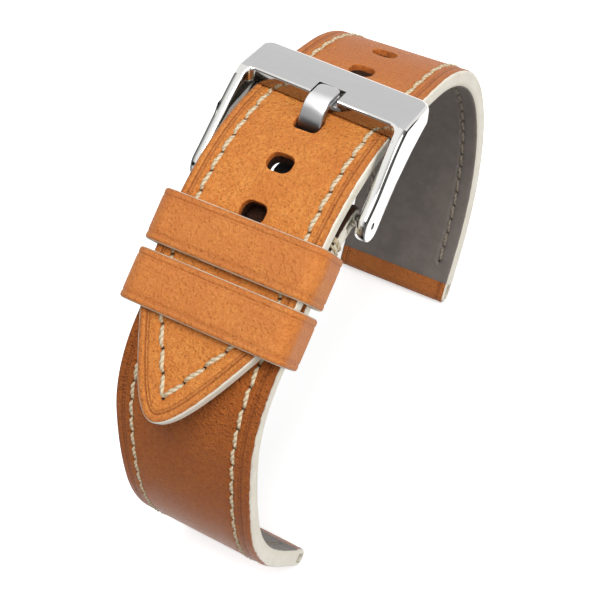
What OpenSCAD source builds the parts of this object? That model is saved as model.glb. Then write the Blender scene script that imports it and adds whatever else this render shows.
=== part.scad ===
// Two-piece leather watch strap with a steel tang buckle, buckled and standing on its lug ends.
// Sizes are millimetres. X runs across the strap, Z is up and the side view is drawn in Y and Z.
// Each strap piece follows a side curve made of arcs. Distances along a curve start at the
// pointed tip of the long piece, and at the hinge bar of the short piece.

/* [Strap] */
// Width of both leather pieces
strap_w = 20; // [18:0.5:22]
// Long piece, from its tip to the centre of its lug bore
long_len = 124; // [118:1:128]
// Short piece, from the hinge bar to the centre of its lug bore
short_len = 78; // [76:1:86]
// Thickness of the outer leather
top_t = 0.8; // [0.7:0.05:0.9]
// Thickness of the lining leather
lining_t = 0.8; // [0.6:0.05:0.9]
// Thickness of the filler between them in the tail
filler_t = 0.6; // [0.4:0.05:0.8]
// Thickness of the filler in the run of the short piece
short_filler_t = 0.8; // [0.6:0.05:1]
// Radius of the bore for a spring bar in each lug end
lug_bore_r = 0.9; // [0.75:0.05:1]
// Width of the turned leather on the lining side, from the end of the lug
turned_band = 3.9; // [3.6:0.1:6]
// Gap between the tail and the short piece below it
lap_gap = 0.3; // [0.25:0.05:0.5]

/* [Tip and holes] */
// Length of the pointed tip, over which the width grows to full
tip_len = 15.9; // [15:0.1:17]
// Radius of the nose of the tip
nose_r = 1.9; // [1.4:0.1:2.4]
// Sideways lean of the tip
tip_lean = 1.3; // [0:0.1:1.5]
// Distance from the tip to the hole that the tongue goes through
tongue_hole_at = 41.8; // [41.6:0.1:42.2]
// Distance from one hole to the next
hole_pitch = 7.1; // [6:0.1:7.5]
// Holes on the tip side of the tongue
holes_before = 2; // [1:1:2]
// Holes behind the tongue
holes_after = 3; // [2:1:4]
// Width of a hole across the strap
hole_w = 3.5; // [3.4:0.1:4]
// Length of a hole along the strap
hole_l = 2.9; // [2.8:0.1:3.2]

/* [Curve of the long piece] */
// Straight run at the tip
run_len = 24; // [22:0.5:26]
// Length and bend of the rise to the buckle
rise_len = 20; // [19:0.5:22]
rise_bend = 38; // [34:1:40]
// Length and bend of the flat top behind the buckle
top_len = 16; // [14:0.5:20]
top_bend = 10; // [8:1:14]
// Length and bend of the turn down to the back
turn_len = 22; // [20:0.5:26]
turn_bend = 52; // [46:1:56]
// Bend of the back leg
leg_bend = 54; // [48:1:58]
// Straight length at each lug
lug_run = 6; // [5:0.5:8]

/* [Curve of the short piece] */
// Length and bend from the hinge bar to the straight run
heel_len = 9; // [8.5:0.5:10]
heel_bend = 30; // [26:1:32]
// Straight run under the keepers
short_run = 13; // [12:0.5:14]
// Length and bend of the first curve below the keepers
knee_len = 13.5; // [12:0.5:16]
knee_bend = 44; // [38:1:46]
// Length and bend of the front leg
shin_len = 14; // [12:0.5:16]
shin_bend = 12; // [10:1:16]
// Length and bend of the curl at the bottom
curl_len = 14; // [12:0.5:16]
curl_bend = 26; // [24:1:32]
// Bend of the last stretch before the lug
toe_bend = 6; // [4:1:14]

/* [Keepers] */
// Width of each keeper along the strap
keeper_w = 6.7; // [5:0.1:6.8]
// Thickness of the keeper leather
keeper_t = 1.3; // [1:0.1:1.5]
// Room beside the strap inside a keeper, each side
keeper_side = 0.3; // [0.2:0.1:0.6]
// Sideways shift of both keepers, the way the tip leans
keeper_shift = 0.2; // [0:0.05:0.25]
// Room over the tail inside a keeper
keeper_over = 0.3; // [0.25:0.05:0.5]
// Distance from the tip to the middle of the fixed keeper
fixed_keeper_at = 23.2; // [22.8:0.1:23.4]
// Gap between the two keepers
keeper_gap = 1; // [0.8:0.1:1.2]

/* [Stitching] */
// Length of one stitch from needle hole to needle hole
stitch_pitch = 2.83; // [2.6:0.01:3.2]
// Distance from the strap edge to a stitch row
stitch_inset = 2.5; // [2.2:0.1:3]
// Thickness of the thread
thread_t = 0.5; // [0.4:0.05:0.6]
// Height of the thread above the leather
thread_proud = 0.1; // [0.05:0.01:0.12]

/* [Buckle] */
// Width of the frame over its legs
frame_w = 25; // [24.6:0.1:27]
// Clear width between the legs
frame_inner_w = 21.8; // [21:0.1:21.8]
// Length of the wide bar along the strap
bar_len = 7; // [6:0.1:7.4]
// Thickness of the wide bar
bar_t = 1.9; // [1.7:0.1:2.3]
// Distance from the tip to the near edge of the wide bar
bar_at = 44.6; // [44.4:0.1:45]
// Gap between the tail and the bar over it
bar_gap = 0.3; // [0.2:0.05:0.5]
// Radius of the round end of each leg
leg_end_r = 2.1; // [1.8:0.1:2.3]
// Width of the tongue
tongue_w = 3; // [2.6:0.1:3]
// Thickness of the tongue
tongue_t = 0.9; // [0.8:0.05:1]
// Length of the tongue that lies in the notch of the bar
tongue_lap = 2; // [1.6:0.1:2.4]
// Clearance around the tongue in the notch
notch_gap = 0.8; // [0.4:0.1:1]

/* [Spring bar of the buckle] */
// Outer radius of the tube
tube_r = 0.75; // [0.7:0.05:0.8]
// Wall of the tube
tube_wall = 0.2; // [0.18:0.01:0.22]
// Radius of the tip that enters the leg
pin_r = 0.42; // [0.38:0.01:0.45]
// Turns of the spring
spring_turns = 14; // [10:1:18]
// Thickness of the spring wire
wire_t = 0.2; // [0.15:0.01:0.24]

/* [Hidden] */

leather = "peru";
lining_grey = "rosybrown";
cream = "cornsilk";
steel = "silver";

// Fits
fit_gap = 0.03;      // running fit of a steel pin in a steel bore
leather_gap = 0.05;  // leather loop round the tube
slip = 0.3;          // room round the floating keeper
eps = 0.01;
facet_deg = 3;       // bend of one flat of the side curves

// Thicknesses built from the layers
tail_t = top_t + filler_t + lining_t;
run_t = top_t + short_filler_t + lining_t;
lug_r = lug_bore_r + top_t;
lug_t = 2 * lug_r;
loop_r = tube_r + leather_gap + top_t;
heel_t = 2 * loop_r;
heel_settle = 2.6;   // stretch before the straight run where the heel is down to its thickness

// A side curve is a list of [length, bend in degrees]
leg_len = long_len - run_len - rise_len - top_len - turn_len - lug_run;
long_segs = [[run_len, 0], [rise_len, -rise_bend], [top_len, -top_bend],
             [turn_len, -turn_bend], [leg_len, -leg_bend], [lug_run, 0]];
toe_len = short_len - heel_len - short_run - knee_len - shin_len - curl_len - lug_run;
short_segs = [[heel_len, heel_bend], [short_run, 0], [knee_len, knee_bend],
              [shin_len, shin_bend], [curl_len, curl_bend], [toe_len, toe_bend], [lug_run, 0]];

// A pose is [y, z, heading]. way is 1 forwards along the heading and -1 backwards
function step(p, l, bend, way) =
    abs(bend) < 0.0001
    ? [p[0] + way * l * cos(p[2]), p[1] + way * l * sin(p[2]), p[2]]
    : let (k = bend * PI / 180 / l)
      [p[0] + way * (sin(p[2] + bend) - sin(p[2])) / k,
       p[1] - way * (cos(p[2] + bend) - cos(p[2])) / k, p[2] + bend];
function walk(p, segs, way, s, i = 0) =
    i >= len(segs) ? step(p, s, 0, way)
    : s <= segs[i][0] ? step(p, s, segs[i][1] * s / segs[i][0], way)
    : walk(step(p, segs[i][0], segs[i][1], way), segs, way, s - segs[i][0], i + 1);
// Point at height h over a pose, outwards positive
function over(p, h) = [p[0] - sin(p[2]) * h, p[1] + cos(p[2]) * h];
function sum_to(segs, n) = n <= 0 ? 0 : segs[n - 1][0] + sum_to(segs, n - 1);

// The straight run starts at the tip, level, before the whole strap is tilted to stand
hinge_start = step([run_len, -(tail_t + lap_gap), 0], heel_len, -heel_bend, 1);
function long_flat(s) = walk([0, 0, 0], long_segs, 1, s);
function short_flat(s) = walk(hinge_start, short_segs, -1, s);

// The strap stands on its two round lug ends, so their bores lie at one height
long_lug_flat = over(long_flat(long_len), -lug_r);
short_lug_flat = over(short_flat(short_len), -lug_r);
tilt = atan2(long_lug_flat[1] - short_lug_flat[1], long_lug_flat[0] - short_lug_flat[0]);
function turned(q) = [q[0] * cos(tilt) + q[1] * sin(tilt), q[1] * cos(tilt) - q[0] * sin(tilt)];

// Places along each curve where a flat ends
function stops(segs, last) = concat([0], [
    for (i = [0 : len(segs) - 1])
        let (n = max(1, ceil(abs(segs[i][1]) / facet_deg)), a = sum_to(segs, i))
        for (j = [1 : n]) if (a + segs[i][0] * j / n <= last + eps) a + segs[i][0] * j / n]);
long_stops = stops(long_segs, long_len);
short_stops = stops(short_segs, short_len);
reach = concat([for (s = long_stops) turned(over(long_flat(s), 0))],
               [for (s = short_stops) turned(over(short_flat(s), 0))]);
mid_y = (max([for (q = reach) q[0]]) + min([for (q = reach) q[0]])) / 2;
floor_z = turned(long_lug_flat)[1] - lug_r;

function placed(p) =
    let (q = turned([p[0], p[1]])) [q[0] - mid_y, q[1] - floor_z, p[2] - tilt];
function long_pose(s) = placed(long_flat(s));
function short_pose(s) = placed(short_flat(s));

// Total thickness along each piece
long_thick_from = run_len + rise_len + top_len;
function ramp(s, a, b) = max(0, min(1, (s - a) / (b - a)));
function long_t(s) =
    tail_t + (lug_t - tail_t) * ramp(s, long_thick_from, long_len - lug_run);
function short_t(s) =
    run_t + (heel_t - run_t) * (1 - ramp(s, loop_r, heel_len - heel_settle))
    + (lug_t - run_t) * ramp(s, heel_len + short_run, short_len - lug_run);

// Keeper places on the long piece, and the same places on the short piece
floating_keeper_at = fixed_keeper_at - keeper_w - keeper_gap;
function short_at(s) = heel_len + run_len - s;
keeper_inner_w = strap_w + 2 * keeper_side;

// Buckle places
hinge_pose = short_pose(0);
hinge = over(hinge_pose, -loop_r);
bar_pose = long_pose(bar_at + bar_len / 2);
bar_top = bar_gap + bar_t;
leg_w = (frame_w - frame_inner_w) / 2;
tube_gap = 0.2;      // between the tube and each leg
tube_len = frame_inner_w - 2 * tube_gap;
tube_inner_r = tube_r - tube_wall;
plunger_r = tube_inner_r - fit_gap;
lip = 0.3;           // rolled end of the tube
lip_r = pin_r + fit_gap;
plunger_len = 2.4;
pin_cut = 0.1;       // chamfer of a tip's end
pin_set = 0.2;       // how far a tip ends inside the outer face of its leg
pin_end = frame_w / 2 - pin_set;
row_x = strap_w / 2 - stitch_inset;

// Moves children to a pose, with Y along the strap and Z outwards
module at_pose(p) translate([0, p[0], p[1]]) rotate([p[2], 0, 0]) children();

// Extrudes a side view across the strap
module across(w) rotate([90, 0, 90]) translate([0, 0, -w / 2]) linear_extrude(w) children();

// Side view of a layer between two depths, given as lists of [place, depth]
module layer_side(outer, inner) polygon(concat(outer, [for (i = [len(inner) - 1 : -1 : 0]) inner[i]]));

// Half width of the tip at a distance from its point: round at the nose, then almost straight
tip_flare = (strap_w * strap_w / 4 - 2 * nose_r * tip_len) / (tip_len * tip_len);
function tip_half(s) = sqrt(2 * nose_r * s + tip_flare * s * s);
function lean(s) = -tip_lean * pow(1 - min(s, run_len) / run_len, 1.4);
tip_steps = [0.03, 0.12, 0.3, 0.6, 1, 1.6, 2.4, 3.6, 5, 7, 9, 11, 13, 14.5, tip_len];

// Plan outline of the tail, drawn with Y along the straight run
module tail_plan() polygon(concat([[lean(0), 0]],
    [for (s = tip_steps) [lean(s) + tip_half(s), s]],
    [[strap_w / 2 + 0.1, run_len - 1], [strap_w, run_len + 2], [-strap_w, run_len + 2],
     [-strap_w / 2 - 0.4, tip_len + 0.4]],
    [for (i = [len(tip_steps) - 1 : -1 : 0]) [lean(tip_steps[i]) - tip_half(tip_steps[i]), tip_steps[i]]]));

// What is cut away round the tip
module tip_trim() at_pose(long_pose(0)) translate([0, 0, -2 * tail_t])
    linear_extrude(4 * tail_t) difference() {
        translate([-strap_w, -2]) square([2 * strap_w, run_len + 1.5]);
        tail_plan();
    }

module rounded(w, h, r) {
    square([w - 2 * r, h], center = true);
    square([w, h - 2 * r], center = true);
    for (m = [-1, 1], n = [-1, 1]) translate([m * (w / 2 - r), n * (h / 2 - r)])
        circle(r = r, $fn = 32);
}
hole_corner_r = 0.8;
module tail_holes() for (i = [-holes_before : holes_after])
    at_pose(long_pose(tongue_hole_at + i * hole_pitch)) translate([0, 0, -2 * tail_t])
        linear_extrude(4 * tail_t) rounded(hole_w, hole_l, hole_corner_r);

module lug_bore(c) translate([0, c[0], c[1]]) rotate([0, 90, 0])
    cylinder(r = lug_bore_r, h = strap_w + 2, center = true, $fn = 48);
module lug_round(c) translate([0, c[0], c[1]]) rotate([0, 90, 0])
    cylinder(r = lug_r, h = strap_w, center = true, $fn = 48);

// Places of a layer that starts at a and ends at b, with the flats of the curve between
function from_to(all, a, b) = concat([a], [for (s = all) if (s > a + 0.2 && s < b - 0.2) s], [b]);
band_back = turned_band - lug_r;

module long_side(a, b, outer_depth, inner_depth) let (st = from_to(long_stops, a, b))
    across(strap_w) layer_side(
        [for (s = st) over(long_pose(s), -outer_depth)],
        [for (s = st) over(long_pose(s), -inner_depth)]);

// Long piece
module long_outer_leather() color(leather) difference() {
    union() {
        long_side(0, long_len, 0, top_t);
        lug_round(over(long_pose(long_len), -lug_r));
        long_side(long_len - band_back, long_len, lug_t - top_t, lug_t);
    }
    tip_trim();
    tail_holes();
    lug_bore(over(long_pose(long_len), -lug_r));
}

long_filler_end = long_len - lug_r - 0.05;
module long_filler() color(leather) difference() {
    let (st = from_to(long_stops, 0, long_filler_end)) across(strap_w) layer_side(
        [for (s = st) over(long_pose(s), -top_t)],
        [for (s = st) over(long_pose(s), lining_t - long_t(s))]);
    tip_trim();
    tail_holes();
}

long_lining_end = long_len - band_back - 0.05;
module long_lining() color(lining_grey) difference() {
    let (st = from_to(long_stops, 0, long_lining_end)) across(strap_w) layer_side(
        [for (s = st) over(long_pose(s), lining_t - long_t(s))],
        [for (s = st) over(long_pose(s), -long_t(s))]);
    tip_trim();
    tail_holes();
}

// Short piece
slot_side = 0.6;     // room on each side of the tongue in the heel, and in front of it
tongue_slot_w = tongue_w + 2 * slot_side;
module tongue_slot() translate([0, hinge[0], hinge[1]]) rotate([hinge_pose[2], 0, 0])
    translate([-tongue_slot_w / 2, -loop_r - slot_side, -loop_r - 1])
        cube([tongue_slot_w, 2 * loop_r + 2, 2 * loop_r + 2]);
module heel_bore() translate([0, hinge[0], hinge[1]]) rotate([0, 90, 0])
    cylinder(r = tube_r + leather_gap, h = strap_w + 2, center = true, $fn = 40);
heel_flap = 7.5;     // leather turned back under the short piece at the hinge bar

module short_outer_leather() color(leather) difference() {
    union() {
        let (st = from_to(short_stops, 0, short_len)) across(strap_w) layer_side(
            [for (s = st) over(short_pose(s), 0)], [for (s = st) over(short_pose(s), -top_t)]);
        lug_round(over(short_pose(short_len), -lug_r));
        let (st = from_to(short_stops, short_len - band_back, short_len)) across(strap_w)
            layer_side([for (s = st) over(short_pose(s), top_t - lug_t)],
                       [for (s = st) over(short_pose(s), -lug_t)]);
        translate([0, hinge[0], hinge[1]]) rotate([0, 90, 0])
            cylinder(r = loop_r, h = strap_w, center = true, $fn = 48);
        let (st = from_to(short_stops, 0, heel_flap)) across(strap_w) layer_side(
            [for (s = st) over(short_pose(s), top_t - short_t(s))],
            [for (s = st) over(short_pose(s), -short_t(s))]);
    }
    tongue_slot();
    heel_bore();
    lug_bore(over(short_pose(short_len), -lug_r));
}

short_filler_start = loop_r + slot_side;
short_filler_end = short_len - lug_r - 0.05;
module short_filler() color(leather)
    let (st = from_to(short_stops, short_filler_start, short_filler_end)) across(strap_w)
        layer_side([for (s = st) over(short_pose(s), -top_t)],
                   [for (s = st) over(short_pose(s), lining_t - short_t(s))]);

short_lining_start = heel_flap + 0.05;
short_lining_end = short_len - band_back - 0.05;
module short_lining() color(lining_grey)
    let (st = from_to(short_stops, short_lining_start, short_lining_end)) across(strap_w)
        layer_side([for (s = st) over(short_pose(s), lining_t - short_t(s))],
                   [for (s = st) over(short_pose(s), -short_t(s))]);

// One stitch, lying along Y on the leather
stitch_gap = 0.5;    // between the ends of two stitches, at their needle hole
stitch_len = stitch_pitch - stitch_gap;
lining_lift = 0.04;  // keeps a straight stitch off the hollow side of a curve
module stitch() across(thread_t) polygon([
    [-stitch_len / 2, 0], [stitch_len / 2, 0],
    [stitch_len / 3, thread_proud], [-stitch_len / 3, thread_proud]]);
module face_stitch(p, x) at_pose(p) translate([x, 0, 0]) stitch();
module lining_stitch(p, t, x) at_pose(p) translate([x, 0, -t - lining_lift])
    mirror([0, 0, 1]) stitch();

// The two rows of the long piece meet at a point inside the tip
vee_at = 3.2;        // the point where the two rows meet
vee_join = tip_len + 0.6;      // where the rows become straight
vee_angle = atan2(row_x, vee_join - vee_at);
vee_n = round(norm([row_x, vee_join - vee_at]) / stitch_pitch);
module vee(h, flip) for (m = [-1, 1], i = [0 : vee_n - 1])
    at_pose(long_pose(vee_at)) translate([
        m * row_x * (i + 0.5) / vee_n + lean(vee_at + (vee_join - vee_at) * (i + 0.5) / vee_n),
        (vee_join - vee_at) * (i + 0.5) / vee_n, h])
        rotate([0, 0, -m * vee_angle]) mirror([0, 0, flip]) stitch();

row_stop = 1;        // between the last stitch and the turned leather
long_row_end = long_len - band_back - row_stop;
function row_places(a, b) = [for (i = [0 : floor((b - a) / stitch_pitch) - 1]) a + (i + 0.5) * stitch_pitch];
// The wide bar lies over this stretch, and the thread under it stays in place
module long_face_thread() color(cream) {
    vee(0, 0);
    for (s = row_places(vee_join, long_row_end), m = [-1, 1]) face_stitch(long_pose(s), m * row_x);
}
module long_lining_thread() color(cream) {
    vee(-tail_t, 1);
    for (s = row_places(vee_join, long_row_end), m = [-1, 1])
        lining_stitch(long_pose(s), long_t(s), m * row_x);
}

short_row_start = heel_flap + 3;    // clear of the bar tacks
short_row_end = short_len - band_back - row_stop;
module short_face_thread() color(cream)
    for (s = row_places(short_row_start, short_row_end), m = [-1, 1])
        face_stitch(short_pose(s), m * row_x);
module short_lining_thread() color(cream)
    for (s = row_places(short_row_start, short_row_end), m = [-1, 1])
        lining_stitch(short_pose(s), short_t(s), m * row_x);

// Keepers
keeper_corner = 1.9;  // outer radius of a fold
keeper_fold_r = 0.3;  // inner radius of a fold
// A closed loop: over is the room above the tail, under the room below the short piece
module keeper(room_over, room_under) {
    stack = tail_t + lap_gap + run_t;
    hi = room_over;
    lo = -stack - room_under;
    translate([-keeper_shift, keeper_w / 2, (hi + lo) / 2]) rotate([90, 0, 0])
        linear_extrude(keeper_w)
        difference() {
            rounded(keeper_inner_w + 2 * keeper_t, hi - lo + 2 * keeper_t, keeper_corner);
            rounded(keeper_inner_w, hi - lo, keeper_fold_r);
        }
}
fixed_keeper_under = 0.35;    // room for the short piece's bend and its thread
module fixed_keeper() color(leather) at_pose(long_pose(fixed_keeper_at))
    keeper(keeper_over, fixed_keeper_under);
module floating_keeper() color(leather) at_pose(long_pose(floating_keeper_at))
    keeper(keeper_over, slip);

// Thread wound round each edge of the short piece, just above the fixed keeper
tack_turns = 4;
tack_pitch = 0.55;
tack_t = 0.2;
tack_reach = 1.6;
tack_gap = 0.1;      // between two turns
tack_room = 0.15;    // inside the turns, over the thickness of the leather
tack_lift = 0.02;
tack_at = short_at(fixed_keeper_at + keeper_w / 2) - 1;
module keeper_bar_tacks() color(cream) for (m = [-1, 1], i = [0 : tack_turns - 1])
    let (s = tack_at - i * tack_pitch, t = short_t(s) + tack_room)
    at_pose(short_pose(s)) difference() {
        translate([m * (strap_w / 2 - tack_reach / 2 + tack_t / 2), 0, -t / 2 + tack_lift])
            cube([tack_reach + tack_t, tack_pitch - tack_gap, t + 2 * tack_t], center = true);
        translate([m * (strap_w / 2 - tack_reach), 0, -t / 2 + tack_lift])
            cube([2 * tack_reach, tack_pitch + 1, t], center = true);
    }

// Side view of the frame: round leg ends at the hinge, legs that rise to the flat bar
function bar_point(along, h) =
    [over(bar_pose, h)[0] + along * cos(bar_pose[2]), over(bar_pose, h)[1] + along * sin(bar_pose[2])];
// Cubic from p to q that leaves along angle a and arrives along angle b
function curve(p, a, q, b, pull, n) = [for (i = [0 : n]) let (
    u = i / n, p1 = p + pull * [cos(a), sin(a)], q1 = q - pull * [cos(b), sin(b)])
    pow(1 - u, 3) * p + 3 * u * pow(1 - u, 2) * p1 + 3 * u * u * (1 - u) * q1 + pow(u, 3) * q];
// Slopes from the bar of the two edges of a leg, at its round end and where it meets the bar
end_top_slope = 32;
end_low_slope = 38;
bar_top_slope = 38;
bar_low_slope = 20;
top_aim = bar_pose[2] + end_top_slope;
low_aim = bar_pose[2] + end_low_slope;
bar_top_aim = bar_pose[2] + 180 + bar_top_slope;
bar_low_aim = bar_pose[2] + bar_low_slope;
// How far each edge keeps its first slope
top_pull = 4;
low_pull = 5;
leg_steps = 10;
// Where the upper edge runs in behind the bar's near edge, and how far below its face
near_back = 0.8;
near_drop = 1.3;
// The same for the lower edge under the far edge, and the bar's own slanted far face
far_back = 1;
far_drop = 2.3;
far_slant = 0.1;
far_face = 1.6;
corner_r = 1.8;      // plan radius of the two far corners
module frame_side() polygon(concat(
    [for (i = [0 : 12]) let (a = top_aim + 90 + (180 + low_aim - top_aim) * i / 12)
        hinge + leg_end_r * [cos(a), sin(a)]],
    curve(hinge + leg_end_r * [cos(low_aim - 90), sin(low_aim - 90)], low_aim,
          bar_point(bar_len / 2 - far_back, bar_top - far_drop), bar_low_aim, low_pull, leg_steps),
    [bar_point(bar_len / 2 - far_slant, bar_top - far_face), bar_point(bar_len / 2, bar_top),
     bar_point(-bar_len / 2, bar_top)],
    curve(bar_point(-bar_len / 2 - near_back, bar_top - near_drop), bar_top_aim,
          hinge + leg_end_r * [cos(top_aim + 90), sin(top_aim + 90)], top_aim + 180, top_pull,
          leg_steps)));

notch_w = tongue_w + 2 * notch_gap;
notch_end_gap = 0.3; // beyond the end of the tongue
notch_l = tongue_lap + notch_end_gap;
rest_gap = 0.04;     // between the tongue and the floor of its notch
module buckle_frame() color(steel) difference() {
    intersection() {
        across(frame_w) frame_side();
        at_pose(bar_pose) translate([0, bar_len / 2, -20]) linear_extrude(40) {
            translate([-frame_w / 2, -40]) square([frame_w, 40 - corner_r]);
            translate([corner_r - frame_w / 2, -corner_r - 1])
                square([frame_w - 2 * corner_r, corner_r + 1]);
            for (m = [-1, 1]) translate([m * (frame_w / 2 - corner_r), -corner_r])
                circle(r = corner_r, $fn = 32);
        }
    }
    // Clear space between the legs, up to the near edge of the bar
    at_pose(bar_pose) translate([-frame_inner_w / 2, -bar_len / 2 - 40, -20])
        cube([frame_inner_w, 40, 40]);
    // Room under the bar for the tail
    at_pose(bar_pose) translate([-frame_inner_w / 2, -bar_len, bar_gap - 20])
        cube([frame_inner_w, 3 * bar_len, 20]);
    // Notch that the tongue lies in
    at_pose(bar_pose) translate([-notch_w / 2, -bar_len / 2 - 1, bar_top - tongue_t - rest_gap])
        cube([notch_w, notch_l + 1, tongue_t + 1]);
    translate([0, hinge[0], hinge[1]]) rotate([0, 90, 0])
        cylinder(r = pin_r + fit_gap, h = frame_w + 2, center = true, $fn = 32);
}

// Side view of the tongue: the middle line of the strip, then its two faces
tongue_loop_r = tube_r + leather_gap + tongue_t;
hole_pose = long_pose(tongue_hole_at);
function near_hole(along, h) =
    [over(hole_pose, h)[0] + along * cos(hole_pose[2]), over(hole_pose, h)[1] + along * sin(hole_pose[2])];
shank_drop = 1.75;   // middle of the shank below the tail
shank_back = 1.9;    // where it turns up, from the middle of the hole
shank_end = near_hole(-shank_back, -tail_t - shank_drop);
shank_aim = atan2(shank_end[1] - hinge[1], shank_end[0] - hinge[0]);
shank_from = hinge + (tongue_loop_r - tongue_t / 2) * [cos(shank_aim + 90), sin(shank_aim + 90)];
// Slopes of the tongue from the strap: under the hole, as it enters it and as it leaves it
turn_slope = 4;
enter_slope = 82;
leave_slope = 74;
turn_aim = hole_pose[2] + turn_slope;
enter_aim = hole_pose[2] + enter_slope;
leave_aim = hole_pose[2] + leave_slope;
turn_pull = 1;
lay_pull = 1.1;
bend_steps = 6;
enter_at = near_hole(-0.2, -tail_t + 0.3);
leave_at = near_hole(0.1, -0.5);
lay_before = 0.1;    // where the tongue lies down, before the near edge of the bar
tongue_mid = concat(
    [shank_from],
    curve(shank_end, turn_aim, enter_at, enter_aim, turn_pull, bend_steps),
    curve(leave_at, leave_aim, bar_point(-bar_len / 2 - lay_before, bar_top - tongue_t / 2),
          bar_pose[2], lay_pull, bend_steps),
    [bar_point(-bar_len / 2 + tongue_lap, bar_top - tongue_t / 2)]);
function ahead(i) = tongue_mid[min(i + 1, len(tongue_mid) - 1)] - tongue_mid[max(i - 1, 0)];
function side_of(i, d) = let (v = ahead(i)) tongue_mid[i] + d * [-v[1], v[0]] / norm(v);
module buckle_tongue() color(steel) difference() {
    union() {
        translate([0, hinge[0], hinge[1]]) rotate([0, 90, 0])
            cylinder(r = tongue_loop_r, h = tongue_w, center = true, $fn = 40);
        across(tongue_w) polygon(concat(
            [for (i = [0 : len(tongue_mid) - 1]) side_of(i, tongue_t / 2)],
            [for (i = [len(tongue_mid) - 1 : -1 : 0]) side_of(i, -tongue_t / 2)]));
    }
    translate([0, hinge[0], hinge[1]]) rotate([0, 90, 0])
        cylinder(r = tube_r + leather_gap, h = tongue_w + 1, center = true, $fn = 40);
}

// Spring bar: a tube with rolled ends, two tips and the spring between them
module on_hinge() translate([0, hinge[0], hinge[1]]) rotate([0, 90, 0]) children();
module spring_bar_tube() color(steel) on_hinge() rotate_extrude($fn = 40) polygon([
    [lip_r, -tube_len / 2], [tube_r, -tube_len / 2], [tube_r, tube_len / 2],
    [lip_r, tube_len / 2], [lip_r, tube_len / 2 - lip], [tube_inner_r, tube_len / 2 - lip],
    [tube_inner_r, -tube_len / 2 + lip], [lip_r, -tube_len / 2 + lip]]);
plunger_gap = 0.02;  // between a plunger and the rolled end
plunger_from = tube_len / 2 - lip - plunger_gap - plunger_len;
module spring_bar_tip() rotate_extrude($fn = 32) polygon([
    [0, plunger_from], [plunger_r, plunger_from], [plunger_r, plunger_from + plunger_len],
    [pin_r, plunger_from + plunger_len], [pin_r, pin_end - pin_cut], [pin_r - pin_cut, pin_end],
    [0, pin_end]]);
module spring_bar_tip_right() color(steel) on_hinge() spring_bar_tip();
module spring_bar_tip_left() color(steel) on_hinge() rotate([180, 0, 0]) spring_bar_tip();

// One unbroken coil between the two plungers
coil_side = 0.06;    // between the coil and the bore
coil_end = 0.05;     // between the coil and each plunger
coil_r = tube_inner_r - coil_side - wire_t / 2;
coil_len = 2 * (plunger_from - coil_end) - wire_t;
coil_rings = 10;
wire_sides = 6;
coil_n = spring_turns * coil_rings;
coil_points = [for (i = [0 : coil_n], j = [0 : wire_sides - 1]) let (
    a = 360 * i / coil_rings, b = 360 * j / wire_sides, r = coil_r + wire_t / 2 * cos(b))
    [r * cos(a), r * sin(a), -coil_len / 2 + coil_len * i / coil_n + wire_t / 2 * sin(b)]];
coil_faces = concat(
    [[for (j = [0 : wire_sides - 1]) j]],
    [[for (j = [wire_sides - 1 : -1 : 0]) coil_n * wire_sides + j]],
    [for (i = [0 : coil_n - 1], j = [0 : wire_sides - 1]) let (
        a = i * wire_sides + j, b = i * wire_sides + (j + 1) % wire_sides)
        [a, a + wire_sides, b]],
    [for (i = [0 : coil_n - 1], j = [0 : wire_sides - 1]) let (
        a = i * wire_sides + j, b = i * wire_sides + (j + 1) % wire_sides)
        [b, a + wire_sides, b + wire_sides]]);
module spring_bar_spring() color(steel) on_hinge()
    polyhedron(points = coil_points, faces = coil_faces, convexity = 10);

long_outer_leather();
long_filler();
long_lining();
long_face_thread();
long_lining_thread();
short_outer_leather();
short_filler();
short_lining();
short_face_thread();
short_lining_thread();
fixed_keeper();
keeper_bar_tacks();
floating_keeper();
buckle_frame();
buckle_tongue();
spring_bar_tube();
spring_bar_tip_left();
spring_bar_tip_right();
spring_bar_spring();
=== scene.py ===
from math import atan2, copysign, cos, exp, hypot, pi, radians, sin, sqrt, tan
import bmesh
import bpy
from mathutils import Matrix, Vector


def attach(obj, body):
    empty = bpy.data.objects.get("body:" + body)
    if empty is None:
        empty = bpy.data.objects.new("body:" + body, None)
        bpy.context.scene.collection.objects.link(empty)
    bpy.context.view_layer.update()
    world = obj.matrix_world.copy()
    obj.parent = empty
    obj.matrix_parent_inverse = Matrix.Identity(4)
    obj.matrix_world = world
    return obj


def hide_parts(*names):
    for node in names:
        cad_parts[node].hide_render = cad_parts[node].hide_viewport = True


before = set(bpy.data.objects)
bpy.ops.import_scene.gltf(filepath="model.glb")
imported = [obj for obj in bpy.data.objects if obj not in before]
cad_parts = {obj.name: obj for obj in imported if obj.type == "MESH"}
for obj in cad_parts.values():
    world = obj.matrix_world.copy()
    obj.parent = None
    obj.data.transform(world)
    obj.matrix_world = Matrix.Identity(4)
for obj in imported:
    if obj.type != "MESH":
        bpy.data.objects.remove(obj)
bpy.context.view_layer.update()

mm = 0.001
print("frame loaded")


# Ways of working

def clearSelection():
    if bpy.context.mode != "OBJECT":
        bpy.ops.object.mode_set(mode="OBJECT")
    bpy.ops.object.select_all(action="DESELECT")


def takeUp(piece):
    clearSelection()
    piece.select_set(True)
    bpy.context.view_layer.objects.active = piece


def startEdit(piece):
    takeUp(piece)
    bpy.ops.object.mode_set(mode="EDIT")
    bpy.ops.mesh.select_all(action="DESELECT")


def endEdit():
    bpy.ops.object.mode_set(mode="OBJECT")


def selectAll():
    bpy.ops.mesh.select_all(action="SELECT")


def faceOutwards():
    selectAll()
    bpy.ops.mesh.normals_make_consistent(inside=False)


def settle():
    # the place, turn and size go into the mesh, and the object stays at the origin
    bpy.ops.object.transform_apply(location=True, rotation=True, scale=True)


def place(piece, matrix):
    piece.matrix_world = matrix @ piece.matrix_world
    takeUp(piece)
    settle()


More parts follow.
